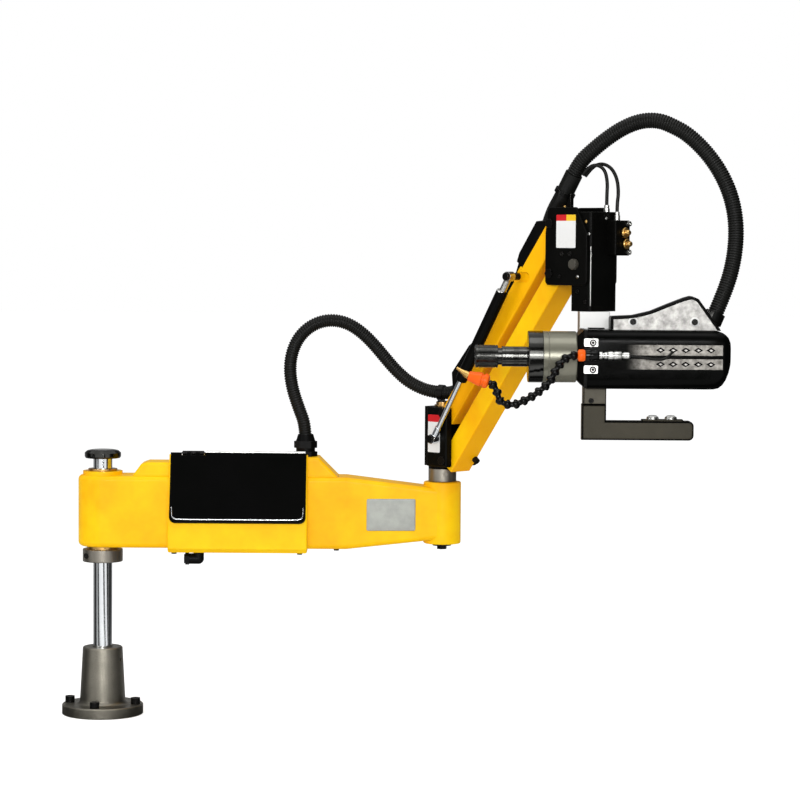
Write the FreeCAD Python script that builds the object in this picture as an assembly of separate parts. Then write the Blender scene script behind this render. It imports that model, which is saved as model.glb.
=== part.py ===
# Electric arm tapping machine: a column on a bolted pedestal, a cast lower arm that swings on the
# column, a parallel-link upper arm with a gas spring, and a tapping head that swivels and tilts.
# Millimetres. The origin is the centre of the pedestal's underside, on the column's axis. +Z is up,
# +X runs along the lower arm to the elbow, and -Y is the operator's side.

import FreeCAD, Part
import math
import os

os.makedirs("parts", exist_ok=True)

# ---- clearances
run_gap = 0.05          # radial, between a shaft and its bush or bore
face_gap = 0.2          # between flat faces that slide on each other
link_side_gap = 2.0     # between a link's wall and the fork that holds it

# ---- pedestal and column
flange_r = 77.0
flange_h = 20.0
cone_foot_r = 43.5
cone_top_r = 37.8
cone_fillet_r = 9.0
pedestal_h = 129.0
base_pcd = 128.0
base_bolt_turn = -7.7   # degrees, of the first bolt from +X
base_bolt_body_r = 6.3
base_bolt_r = 6.0       # the threaded end, below the pedestal's underside
base_bolt_head_r = 9.0
base_bolt_head_h = 12.0
base_bolt_below = 14.0
set_screw_r = 4.0
set_screw_drop = 24.0
column_r = 18.0
column_seat_z = 12.0
column_top_z = 489.0
cap_r = 34.5
cap_h = 16.0
cap_stem_r = 8.0
cap_stem_h = 20.0
ring_z = 465.2
ring_r = 27.5
ring_h = 3.8
groove_depth = 1.5
collar_r = 38.0
collar_h = 24.0
collar_slit = 4.0
collar_ear_y = 14.0
washer_r = 30.0
washer_h = 5.8

# ---- lower arm
arm_bottom_z = 322.0
arm_top_z = 458.0
arm_half_y = 46.0
arm_boss_rise = 7.0
arm_boss_ring_r = 37.5
arm_edge_r = 9.0
taper_start_x = 463.0
taper_half_y = 33.5
taper_low = 10.0
taper_high = 12.0
elbow_x = 645.0
elbow_boss_r = 35.6
elbow_bottom_z = 331.0
elbow_top_z = 448.8
arm_pocket_wall = 9.0
bush_wall = 5.0
bush_length = 38.0

# ---- control box, screen and hump on the lower arm
box_x0 = 130.0
box_x1 = 391.0
box_bottom_z = 318.0
box_front_y = -86.5
box_top_z = 500.0
box_strip_top_z = 375.0
box_edge_r = 3.0
hinge_y = -45.0
hinge_z = 503.0
lid_drop = 129.0
lid_out = 43.0
lid_x0 = 133.0
lid_x1 = 388.5
lid_t = 5.0
lid_gap = 1.0
lid_corner_r = 12.0
lid_knuckle_r = 4.0
lid_knuckle_x0 = 155.0
lid_knuckle_w = 8.0
screen_w = 196.0
screen_h = 98.0
screen_t = 8.0
screen_frame = 9.0
hump_x0 = 59.5
hump_x1 = 448.0
hump_left_z = 484.0
hump_right_z = 495.0
hump_half_y = 38.0
gland_x = 385.0
gland_y = -2.0
gland_r = 22.5
gland_h = 42.0
lower_conduit_r = 12.4
power_gland_x = 187.0
power_gland_y = -62.0
power_gland_r = 10.0
power_gland_drop = 13.0
power_gland_reach = 27.0
plate_w = 92.0
plate_h = 60.0
plate_t = 1.2
plate_x = 548.0
plate_z = 388.0

# ---- elbow
arm_yaw = -45.0         # degrees, of the upper arm's plane from +X
pin_u = 39.0            # link pivots, along the upper arm from the elbow's axis
low_pin_z = 492.0
pin_spacing = 90.0
elbow_pin_r = 14.0
elbow_neck_r = 10.5
elbow_collar_r = 26.5
elbow_collar_z = 474.0
fork_inner = 28.0
fork_outer = 42.0
fork_u0 = -2.0
fork_u1 = 50.0
fork_bottom_z = 480.0
fork_top_z = 592.0
fork_web_u0 = -24.0
link_pin_r = 6.0
link_pin_head_r = 9.0
link_pin_head_h = 2.6

# ---- parallel links
link_length = 443.0
link_rise = 53.25       # degrees above level
link_half = 26.0
link_wall = 4.0
link_over = 16.0        # wall above the pivots
link_under = 20.0       # wall below the pivots
link_end = 12.0         # past the pivots
pivot_tube_r = 10.0
link_end_clear = 24.5
trough_half = 21.5
trough_bore = 12.0
notch_h = 18.0

# ---- gas spring
spring_w = 50.0
spring_low_u = 24.0
spring_low_z = 533.0
spring_high_s = 312.0
spring_high_t = 14.0
stud_r = 4.0
eye_r = 9.0
eye_half = 7.0
gas_rod_r = 5.0
gas_tube_r = 11.0
gas_tube_bore = 9.4
gas_gland_bore = 7.4
gas_tube_start = 133.0
gas_tube_end = 330.0
gas_rod_end = 192.0
gas_piston_r = 7.0

# ---- head knuckle
cover_plate_w0 = 36.0
cover_plate_t = 6.0
cover_corner_r = 9.0
cover_slope_u = 26.0    # the plate's upper outer corner falls away by this much, over the next
cover_slope_z = 46.0
housing_half = 35.8
spindle_r = 20.0
valve_w0 = -48.0
valve_w1 = -8.0
valve_knob_r = 8.5
lock_knob_r = 9.7
lock_knob_len = 8.0

# ---- head, measured from where the motor's axis crosses the tilt axis
neck_half = 27.0
tilt_pin_r = 14.0
tilt_flange_r = 38.0
clamp_x0 = -37.0
clamp_step_x = -20.5
clamp_x1 = 19.5
clamp_back_y = 46.0
flange_half = 50.0
flange_chamfer = 11.0
body_half = 46.5
body_drop = 3.5
gearbox_r = 45.0
gearbox_x0 = -96.0
spigot_r = 35.0
spigot_x1 = -5.0
disc_x0 = -122.0
shroud_x1 = 233.5
shroud_wall = 3.2
shroud_half = 50.6
shroud_corner_r = 20.0
vent_w = 16.5
vent_h = 9.6
vent_pitch = 22.0
vent_x0 = 107.0
vent_z = (14.5, -10.0)
band_h = 18.5
band_x0 = 78.0
band_x1 = 216.0
shank_r = 17.7
shank_x0 = -167.7
chuck_nose_r = 15.0
chuck_nose_x = -209.0
chuck_bore_r = 9.5
chuck_bore_depth = 24.0
chuck_shaft_r = 10.0
sleeve_r = 20.2
sleeve_x0 = -214.5
sleeve_len = 40.0
hood_half = 22.0
hood_wall = 3.0
upper_conduit_r = 14.2
handle_x0 = -26.5
handle_x1 = 16.3
handle_part_z = -82.6
handle_bottom_z = -145.6
bar_top_z = -111.7
bar_x1 = 170.5
handle_half = 17.0
button_r = 9.0
button_x = (99.0, 131.0)
button_top_z = -101.6
coolant_y = -62.0
coolant_z = 5.0

# ---- places that follow from the links' length and rise
elbow = FreeCAD.Vector(elbow_x, 0, 0)
high_pin_z = low_pin_z + pin_spacing
rise = math.radians(link_rise)
pin_du = link_length * math.cos(rise)
pin_dz = link_length * math.sin(rise)
top_pin_u = pin_u + pin_du
top_low_pin_z = low_pin_z + pin_dz
notch_start_u = top_pin_u - 114.058
notch_u = top_pin_u - 62.058
notch_z = top_low_pin_z - 7.956
cover_u0 = top_pin_u - 10.058
core_u0 = top_pin_u + 26.942
housing_u0 = top_pin_u + 46.142
lock_knob_u = top_pin_u + 60.942
swivel_u = top_pin_u + 69.942
cover_u1 = top_pin_u + 88.942
housing_u1 = top_pin_u + 93.942
valve_u1 = top_pin_u + 113.942
head_z = top_low_pin_z - 144.956
housing_z0 = top_low_pin_z - 66.956
cover_z0 = top_low_pin_z - 20.956
lock_knob_z = top_low_pin_z + 17.044
spindle_top_z = top_low_pin_z + 31.044
valve_z0 = top_low_pin_z + 33.044
valve_z1 = top_low_pin_z + 96.044
housing_z1 = top_low_pin_z + 111.044
cover_z1 = top_low_pin_z + 119.044
yaw = math.radians(arm_yaw)
swivel_x = elbow_x + swivel_u * math.cos(yaw)
swivel_y = swivel_u * math.sin(yaw)
neck_y0 = swivel_y - 40.542
neck_y1 = swivel_y + 19.458
head_y = swivel_y - 103.542
head_origin = FreeCAD.Vector(swivel_x, head_y, head_z)
crown = (swivel_x, swivel_y, top_low_pin_z)


def from_crown(route):
    """Points given from where the swivel's axis passes the links' lower upper pivot."""
    return [tuple(a + b for a, b in zip(crown, point)) for point in route]


# ---- conduits, tubes and the jointed coolant hose
sleeve_outer_r = 16.2
air_tube_r = 3.2
coolant_tube_r = 2.2
hose_r = 8.4
hose_waist_r = 5.8
nozzle_r = 12.0
lower_route = [(385, -2, 512), (385, -2, 552), (371, -2, 588), (359, -1, 624), (354, 0, 660),
               (358, 1, 692), (370, 2, 719), (389, 3, 739), (413, 4, 751), (439, 5, 753.5),
               (465, 6, 747), (491, 7, 730), (515, 8, 706), (535, 8, 682), (555, 8, 659),
               (579, 8, 637.5), (607, 6, 623.5), (630, 1.5, 618.5), (654, -9, 617), (667, -19, 620.5),
               (676.5, -30.5, 627)]
clip_run = len(lower_route) - 4     # the run of the lower conduit that its clip holds
sleeve_route = from_crown([(-73.6, 69.3, 91), (-68.3, 63.3, 110), (-56.5, 47.9, 133),
                           (-44.6, 39.7, 158.5)])
upper_route = from_crown([(-25.5, 24.5, 200), (-5.5, 17.5, 219.5), (21.5, 9, 242.5), (50.5, -0.5, 262),
                          (81.5, -11, 274), (112.5, -21.5, 274), (137.5, -29.5, 263),
                          (160.5, -35.5, 250), (187.5, -43.5, 225), (211.5, -50.5, 194),
                          (229.5, -58.5, 160), (240.5, -66.5, 125), (245.5, -73.5, 87),
                          (243.5, -81.5, 46), (235.5, -89.5, 5), (221.5, -96.5, -35), (203, -103.5, -77)])
cuff = tuple((a + b) / 2 for a, b in zip(sleeve_route[-1], upper_route[0]))
sleeve_route.append(cuff)
upper_route.insert(0, cuff)
crown_run = len(upper_route) - 13    # the run of the upper conduit at its highest point
air_routes = [from_crown([(-20, 18.7, 177), (-11.5, 12.5, 191), (4.5, 5.5, 196), (18.5, 1.5, 186),
                          (23, 0, 163), (21.9, -0.7, 141), (21.9, -0.7, 123.3)]),
              from_crown([(-15, 26.5, 175), (-3.5, 18.5, 192), (13.5, 12.5, 198.5), (30.5, 4.5, 190),
                          (40.5, -1.5, 169), (42.5, -4.9, 143), (40.3, -4.9, 127), (40.3, -4.9, 111.3)])]
coolant_route = from_crown([(53.9, -165.5, -140), (79.5, -164, -144), (104.5, -161.5, -147),
                            (118.5, -159.5, -144), (127.5, -156, -133.5)])
hose_route = [(-38.2, -62, 5), (-50, -62, 5), (-64, -61.5, -4), (-76, -61, -21), (-85, -60, -41),
              (-99, -59, -54), (-114, -57, -66), (-130, -55, -75), (-145, -52, -82), (-161, -50, -82),
              (-173, -48.5, -75), (-176, -47, -63), (-181, -46, -50), (-191, -45, -43)]
nozzle_end = FreeCAD.Vector(-226, -40, -33)
nozzle_tip = FreeCAD.Vector(-251, -32, -17)

conduit_end = FreeCAD.Vector(*upper_route[-1]) - head_origin
conduit_exit = FreeCAD.Vector(*upper_route[-2]) - head_origin

far = 1000.0            # past everything, for cuts that run right through


# ---- helpers

def vec(x, y, z):
    return FreeCAD.Vector(x, y, z)


def block(x0, x1, y0, y1, z0, z1):
    return Part.makeBox(x1 - x0, y1 - y0, z1 - z0, vec(x0, y0, z0))


def rod(radius, start, end):
    way = end - start
    return Part.makeCylinder(radius, way.Length, start, way)


def tube(outer, inner, start, end):
    return rod(outer, start, end).cut(rod(inner, start, end))


def cone(r0, r1, start, end):
    way = end - start
    return Part.makeCone(r0, r1, way.Length, start, way)


def prism(points, axis, a, b):
    """A polygon pushed along an axis from a to b; its points are in the other two axes, in order."""
    if axis == "x":
        corners = [vec(a, p, q) for p, q in points]
        way = vec(b - a, 0, 0)
    elif axis == "y":
        corners = [vec(p, a, q) for p, q in points]
        way = vec(0, b - a, 0)
    else:
        corners = [vec(p, q, a) for p, q in points]
        way = vec(0, 0, b - a)
    return Part.Face(Part.makePolygon(corners + corners[:1])).extrude(way)


def turned(points):
    """A (radius, height) polygon turned about Z."""
    corners = [vec(r, 0, z) for r, z in points]
    return Part.Face(Part.makePolygon(corners + corners[:1])).revolve(vec(0, 0, 0), vec(0, 0, 1), 360)


def rounded(shape, radius, chosen):
    """Fillets the edges whose middle and direction the test chooses."""
    picked = []
    for edge in shape.Edges:
        middle = edge.valueAt((edge.FirstParameter + edge.LastParameter) / 2)
        way = edge.tangentAt((edge.FirstParameter + edge.LastParameter) / 2)
        if chosen(middle, way, edge):
            picked.append(edge)
    return shape.makeFillet(radius, picked)


def ring_section(x, half_y, z0, z1, r):
    """A rounded rectangle across X, for a loft."""
    face = block(x, x + 1, -half_y, half_y, z0, z1)
    face = rounded(face, r, lambda m, w, e: along(w, "x"))
    return [f for f in face.Faces if f.BoundBox.XMax - x < 0.01][0].OuterWire


def along(way, axis):
    return abs(abs(getattr(way, axis)) - 1) < 0.01


def pointed(shape, at, way):
    """A shape modelled on +Z, put with its origin at a point and +Z along a way."""
    out = shape.copy()
    out.Placement = FreeCAD.Placement(at, FreeCAD.Rotation(vec(0, 0, 1), way))
    return out


def socket_screw(head_r, head_h, shank_r, shank_len):
    hexagon = [(head_r * 0.55 * math.cos(math.radians(60 * i)),
                head_r * 0.55 * math.sin(math.radians(60 * i)))
               for i in range(6)]
    head = Part.makeCylinder(head_r, head_h).cut(prism(hexagon, "z", head_h * 0.45, head_h + 1))
    return head.fuse(Part.makeCylinder(shank_r, shank_len, vec(0, 0, -shank_len)))


def hexagon_prism(radius, z0, z1):
    corners = [(radius * math.cos(math.radians(60 * i)),
                radius * math.sin(math.radians(60 * i))) for i in range(6)]
    return prism(corners, "z", z0, z1)


def on_arm(shape):
    """From the upper arm's own frame (x along it, -y its near side) to the machine's."""
    out = shape.copy()
    out.rotate(vec(0, 0, 0), vec(0, 0, 1), arm_yaw)
    out.translate(elbow)
    return out


def on_link(shape, pin_z):
    """From a link's own frame (x from its lower pivot to its upper one, z across it) to the machine's."""
    out = shape.copy()
    out.rotate(vec(0, 0, 0), vec(0, 1, 0), -link_rise)
    out.translate(vec(pin_u, 0, pin_z))
    return on_arm(out)


def on_head(shape):
    out = shape.copy()
    out.translate(head_origin)
    return out


def group(shapes):
    return shapes[0] if len(shapes) == 1 else Part.makeCompound(shapes)


nodes = {}


def keep(name, shape):
    solids = shape.Solids
    if not shape.isValid() or not solids:
        raise SystemExit("bad shape in " + name)
    nodes[name] = group(solids)


# ---- pedestal and column

def make_base():
    body = turned([(0, 0), (flange_r - 1.5, 0), (flange_r, 1.5), (flange_r, flange_h - 2),
                   (flange_r - 2, flange_h),
                   (cone_foot_r, flange_h), (cone_top_r, pedestal_h - 2), (cone_top_r - 2, pedestal_h),
                   (0, pedestal_h)])
    body = rounded(body, cone_fillet_r,
                   lambda m, w,
                   e: abs(m.z - flange_h) < 0.1 and abs(math.hypot(m.x, m.y) - cone_foot_r) < 0.1)
    body = body.cut(rod(column_r + run_gap, vec(0, 0, column_seat_z), vec(0, 0, pedestal_h + 1)))
    body = body.cut(cone(column_r, column_r + 2.5, vec(0, 0, pedestal_h - 2.5),
                         vec(0, 0, pedestal_h + 0.01)))
    screws = []
    for i in range(4):
        angle = math.radians(base_bolt_turn + 90 * i)
        x, y = base_pcd / 2 * math.cos(angle), base_pcd / 2 * math.sin(angle)
        body = body.cut(rod(base_bolt_body_r + 0.5, vec(x, y, -1), vec(x, y, flange_h + 1)))
        screw = pointed(socket_screw(base_bolt_head_r, base_bolt_head_h, base_bolt_body_r, flange_h),
                        vec(x, y, flange_h), vec(0, 0, 1))
        screws.append(screw.fuse(rod(base_bolt_r, vec(x, y, -base_bolt_below), vec(x, y, 1))))
    middle = vec(0, 0, pedestal_h - set_screw_drop)
    for angle in (200.0, 340.0):
        way = vec(math.cos(math.radians(angle)), math.sin(math.radians(angle)), 0)
        body = body.cut(rod(set_screw_r + 0.1, middle + way * (column_r - 1),
                            middle + way * (cone_top_r + 6)))
        screws.append(rod(set_screw_r, middle + way * (column_r + 0.2), middle + way * (cone_top_r - 1)))
    keep("base_pedestal", body)
    keep("base_screws", group(screws))


def make_column():
    top = vec(0, 0, column_top_z)
    body = rod(column_r, vec(0, 0, column_seat_z), top)
    body = body.cut(rod(cap_stem_r + run_gap, top - vec(0, 0, cap_stem_h + 1), top))
    groove = tube(column_r + 1, column_r - groove_depth, vec(0, 0, ring_z), vec(0, 0, ring_z + ring_h))
    keep("column", body.cut(groove))
    clip = tube(ring_r, column_r - groove_depth, vec(0, 0, ring_z), vec(0, 0, ring_z + ring_h))
    cap = turned([(0, column_top_z), (cap_r - 2, column_top_z), (cap_r, column_top_z + 3),
                  (cap_r, column_top_z + cap_h - 6), (cap_r - 5, column_top_z + cap_h - 1.5),
                  (cap_r - 12, column_top_z + cap_h), (0, column_top_z + cap_h)])
    keep("column_cap", cap.fuse(rod(cap_stem_r, top - vec(0, 0, cap_stem_h), top + vec(0, 0, 1))))
    washer_z = arm_bottom_z - face_gap - washer_h
    washer = tube(washer_r, column_r + run_gap, vec(0, 0, washer_z), vec(0, 0, washer_z + washer_h))
    keep("column_rings", group([clip, washer]))
    collar_z = washer_z - collar_h
    collar = tube(collar_r, column_r + run_gap, vec(0, 0, collar_z), vec(0, 0, washer_z))
    collar = rounded(collar, 1.5, lambda m, w, e: abs(e.Length - 2 * math.pi * collar_r) < 0.1)
    collar = collar.cut(block(-collar_r - 1, 0, -collar_slit / 2, collar_slit / 2, collar_z - 1,
                              washer_z + 1))
    ear_x = -(column_r + collar_r) / 2 - 1
    middle_z = (collar_z + washer_z) / 2
    seat = rod(5.5, vec(ear_x, -collar_r, middle_z), vec(ear_x, -collar_ear_y, middle_z))
    thread = rod(3.1, vec(ear_x, -collar_r, middle_z), vec(ear_x, collar_r, middle_z))
    keep("support_collar", collar.cut(seat).cut(thread))
    screw = socket_screw(5.0, 6.0, 3.0, 2 * collar_ear_y)
    screw = pointed(screw, vec(ear_x, -collar_ear_y, middle_z), vec(0, -1, 0))
    keep("base_screws", group(nodes["base_screws"].Solids + [screw]))


# ---- lower arm

def make_arm_casting():
    beam = Part.makeLoft([ring_section(0, arm_half_y, arm_bottom_z, arm_top_z, arm_edge_r),
                          ring_section(taper_start_x, arm_half_y, arm_bottom_z, arm_top_z, arm_edge_r),
                          ring_section(elbow_x, taper_half_y, elbow_bottom_z + taper_low,
                                       elbow_top_z - taper_high,
                                       arm_edge_r)], True, True)
    left = rod(arm_half_y, vec(0, 0, arm_bottom_z), vec(0, 0, arm_top_z))
    left = rounded(left, arm_edge_r, lambda m, w, e: abs(e.Length - 2 * math.pi * arm_half_y) < 0.1)
    left = left.cut(block(0, far, -far, far, -far, far))
    ring = rod(arm_boss_ring_r, vec(0, 0, arm_top_z - 1), vec(0, 0, arm_top_z + arm_boss_rise))
    right = rod(elbow_boss_r, vec(elbow_x, 0, elbow_bottom_z), vec(elbow_x, 0, elbow_top_z))
    right = rounded(right, 3.0, lambda m, w, e: abs(e.Length - 2 * math.pi * elbow_boss_r) < 0.1)
    body = beam.fuse([left, ring, right])
    body = body.cut(block(hump_x0 + arm_pocket_wall, hump_x1 - arm_pocket_wall,
                          -arm_half_y + arm_pocket_wall,
                          arm_half_y - arm_pocket_wall, arm_bottom_z + arm_pocket_wall, arm_top_z + 1))
    bush_r = column_r + run_gap + bush_wall
    top = arm_top_z + arm_boss_rise
    body = body.cut(rod(column_r + 1.5, vec(0, 0, arm_bottom_z - 1), vec(0, 0, top + 1)))
    bushes = []
    for z0 in (arm_bottom_z, top - bush_length):
        ends = vec(0, 0, z0), vec(0, 0, z0 + bush_length)
        body = body.cut(rod(bush_r, *ends))
        bushes.append(tube(bush_r, column_r + run_gap, *ends))
    bush_r = elbow_pin_r + run_gap + bush_wall
    body = body.cut(rod(elbow_pin_r + 1.5, elbow + vec(0, 0, elbow_bottom_z - 1),
                        elbow + vec(0, 0, elbow_top_z + 1)))
    for z0 in (elbow_bottom_z, elbow_top_z - bush_length):
        ends = elbow + vec(0, 0, z0), elbow + vec(0, 0, z0 + bush_length)
        body = body.cut(rod(bush_r, *ends))
        bushes.append(tube(bush_r, elbow_pin_r + run_gap, *ends))
    keep("lower_arm_casting", body)
    keep("arm_bushes", group(bushes))


def make_hump():
    outline = [(hump_x0, arm_top_z), (hump_x0 + 16, hump_left_z - 4), (hump_x0 + 27, hump_left_z),
               (box_x0 + 6, hump_left_z), (box_x0 + 22, hump_right_z), (gland_x + 26, hump_right_z),
               (hump_x1, arm_top_z)]
    body = prism(outline, "y", -hump_half_y, hump_half_y)
    body = rounded(body, 6.0, lambda m, w, e: abs(abs(m.y) - hump_half_y) < 0.1 and m.z > arm_top_z + 2)
    hollow = [(hump_x0 + 22, arm_top_z - 1), (hump_x0 + 28, hump_left_z - 6), (box_x0 + 8, hump_left_z - 6),
              (gland_x + 22, hump_left_z - 6), (hump_x1 - 20, arm_top_z - 1)]
    body = body.cut(prism(hollow, "y", -hump_half_y + 6, hump_half_y - 6))
    body = body.cut(rod(gland_r - 8, vec(gland_x, gland_y, arm_top_z),
                        vec(gland_x, gland_y, hump_right_z + 1)))
    keep("arm_top_cover", body)


def face_y(z, off):
    """The sloped front face at a height, set back from the lid by a distance."""
    slope = lid_out / lid_drop
    return hinge_y - (hinge_z - z) * slope + off * math.hypot(1, slope)


def on_slope(shape):
    """From the lid's own frame (origin on the hinge line, +Z up the slope, -Y outward)."""
    out = shape.copy()
    out.rotate(vec(0, 0, 0), vec(1, 0, 0), -math.degrees(math.atan2(lid_out, lid_drop)))
    out.translate(vec(0, hinge_y, hinge_z))
    return out


def make_control_box():
    step_y = face_y(box_strip_top_z, lid_gap)
    back = -arm_half_y - 0.1
    profile = [(back, box_bottom_z), (box_front_y + 8, box_bottom_z), (box_front_y, box_bottom_z + 8),
               (box_front_y, box_strip_top_z - 4), (step_y, box_strip_top_z),
               (face_y(box_top_z, lid_gap), box_top_z),
               (-hump_half_y - 0.1, box_top_z), (-hump_half_y - 0.1, arm_top_z + 0.1),
               (back, arm_top_z + 0.1)]
    body = prism(profile, "x", box_x0, box_x1)
    body = rounded(body, box_edge_r, lambda m, w, e: not along(w, "x") and m.y < -arm_half_y - 2)
    middle = (box_x0 + box_x1) / 2
    low = -(lid_drop + screen_h) / 2
    half = screen_w / 2 + screen_frame
    pocket = block(middle - half, middle + half, lid_gap - 1, lid_gap + screen_t, low - screen_frame,
                   low + screen_h + screen_frame)
    keep("control_box", body.cut(on_slope(pocket)))
    frame = block(middle - half + 0.1, middle + half - 0.1, lid_gap, lid_gap + screen_t - 0.1,
                  low - screen_frame + 0.1,
                  low + screen_h + screen_frame - 0.1)
    glass = block(middle - screen_w / 2, middle + screen_w / 2, lid_gap - 1, lid_gap + 1.5, low,
                  low + screen_h)
    keep("touch_screen", on_slope(frame.cut(glass)))
    screws = []
    for x, y in ((box_x0 + 11, -66.0), (box_x1 - 14, -66.0), (taper_start_x - 18, -28.0)):
        floor = arm_bottom_z if x > box_x1 else box_bottom_z
        screws.append(pointed(socket_screw(5.0, 3.5, 2.5, 8.0), vec(x, y, floor), vec(0, 0, -1)))
    keep("box_screws", group(screws))
    for node in ("control_box", "lower_arm_casting"):
        keep(node, nodes[node].cut(group(screws)))


def make_lid():
    upright = math.hypot(lid_drop, lid_out)
    leaf_z = -lid_knuckle_r - 1.3
    lid = block(lid_x0, lid_x1, -lid_t, 0, -upright, 0)
    lid = rounded(lid, lid_corner_r, lambda m, w, e: along(w, "y") and m.z < -upright + 1)
    lid = rounded(lid, 1.5, lambda m, w, e: abs(m.y + lid_t) < 0.01)
    barrels = []
    plates = []
    for i in range(5):
        x0 = lid_knuckle_x0 + i * (lid_knuckle_w + 0.2)
        ring = tube(lid_knuckle_r, 1.6 + run_gap, vec(x0, 0, 0), vec(x0 + lid_knuckle_w, 0, 0))
        if i % 2:
            foot = block(x0, x0 + lid_knuckle_w, -lid_t, -0.5, -lid_knuckle_r - 6, 0)
            barrels.append(ring.fuse(foot).cut(rod(1.6 + run_gap, vec(x0 - 1, 0, 0), vec(x0 + 20, 0, 0))))
        else:
            foot = block(x0, x0 + lid_knuckle_w, 0, lid_knuckle_r + 4, -lid_knuckle_r, -1.2)
            plates.append(ring.fuse(foot).cut(rod(1.6 + run_gap, vec(x0 - 1, 0, 0), vec(x0 + 20, 0, 0))))
    clear_x1 = lid_knuckle_x0 + 5 * (lid_knuckle_w + 0.2)
    lid = lid.cut(block(lid_knuckle_x0 - 1, clear_x1 + 1, -lid_t - 1, 1, -lid_knuckle_r - 1.5, 1))
    keep("screen_cover", on_slope(lid.fuse(barrels)))
    leaf = block(lid_knuckle_x0, clear_x1, 3.5, lid_knuckle_r + 4, leaf_z, -lid_knuckle_r + 2)
    recess = block(lid_knuckle_x0 - 2, clear_x1 + 2, -lid_knuckle_r - 1, lid_knuckle_r + 5, leaf_z,
                   lid_knuckle_r)
    keep("control_box", nodes["control_box"].cut(on_slope(recess)))
    hinge = plates[0].fuse(plates[1:] + [leaf])
    pin = rod(1.6, vec(lid_knuckle_x0 - 1, 0, 0), vec(clear_x1 + 1, 0, 0))
    keep("cover_hinge", group([on_slope(hinge), on_slope(pin)]))


def make_arm_fittings():
    foot = vec(gland_x, gland_y, hump_right_z)
    body = pointed(hexagon_prism(gland_r, 0, 9), foot, vec(0, 0, 1))
    body = body.fuse(rod(gland_r - 4.5, foot + vec(0, 0, 9), foot + vec(0, 0, 16)))
    body = body.fuse(rod(gland_r - 8.2, foot - vec(0, 0, 8), foot))
    nut = pointed(hexagon_prism(gland_r - 0.5, 16, 29), foot, vec(0, 0, 1))
    nut = nut.fuse(cone(gland_r - 4, lower_conduit_r + 2, foot + vec(0, 0, 29), foot + vec(0, 0, gland_h)))
    bore = rod(lower_conduit_r + 0.1, foot + vec(0, 0, 12), foot + vec(0, 0, gland_h + 1))
    keep("cable_gland", group([body.cut(bore), nut.cut(bore)]))
    start = vec(power_gland_x, power_gland_y, box_bottom_z)
    corner = start - vec(0, 0, power_gland_drop)
    elbow_fitting = rod(power_gland_r, start, corner).fuse(Part.makeSphere(power_gland_r, corner))
    elbow_fitting = elbow_fitting.fuse(rod(power_gland_r, corner, corner - vec(power_gland_reach - 9, 0, 0)))
    nut = pointed(hexagon_prism(power_gland_r + 1.5, 0, 7), corner - vec(power_gland_reach - 9, 0, 0),
                  vec(-1, 0, 0))
    nut = nut.fuse(rod(power_gland_r - 1, corner - vec(power_gland_reach - 3, 0, 0),
                       corner - vec(power_gland_reach, 0, 0)))
    bore = rod(4.0, corner - vec(power_gland_reach - 12, 0, 0), corner - vec(power_gland_reach + 1, 0, 0))
    keep("power_gland", elbow_fitting.fuse(nut).cut(bore))
    lean = math.degrees(math.atan2(arm_half_y - taper_half_y, elbow_x - taper_start_x))
    plate = block(-plate_w / 2, plate_w / 2, -plate_t, 0, -plate_h / 2, plate_h / 2)
    plate = rounded(plate, 3.0, lambda m, w, e: along(w, "y"))
    plate.rotate(vec(0, 0, 0), vec(0, 0, 1), lean)
    side_y = arm_half_y - (plate_x - taper_start_x) * math.tan(math.radians(lean))
    plate.translate(vec(plate_x, -side_y - 0.05, plate_z))
    keep("name_plate", plate)


# ---- elbow

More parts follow.
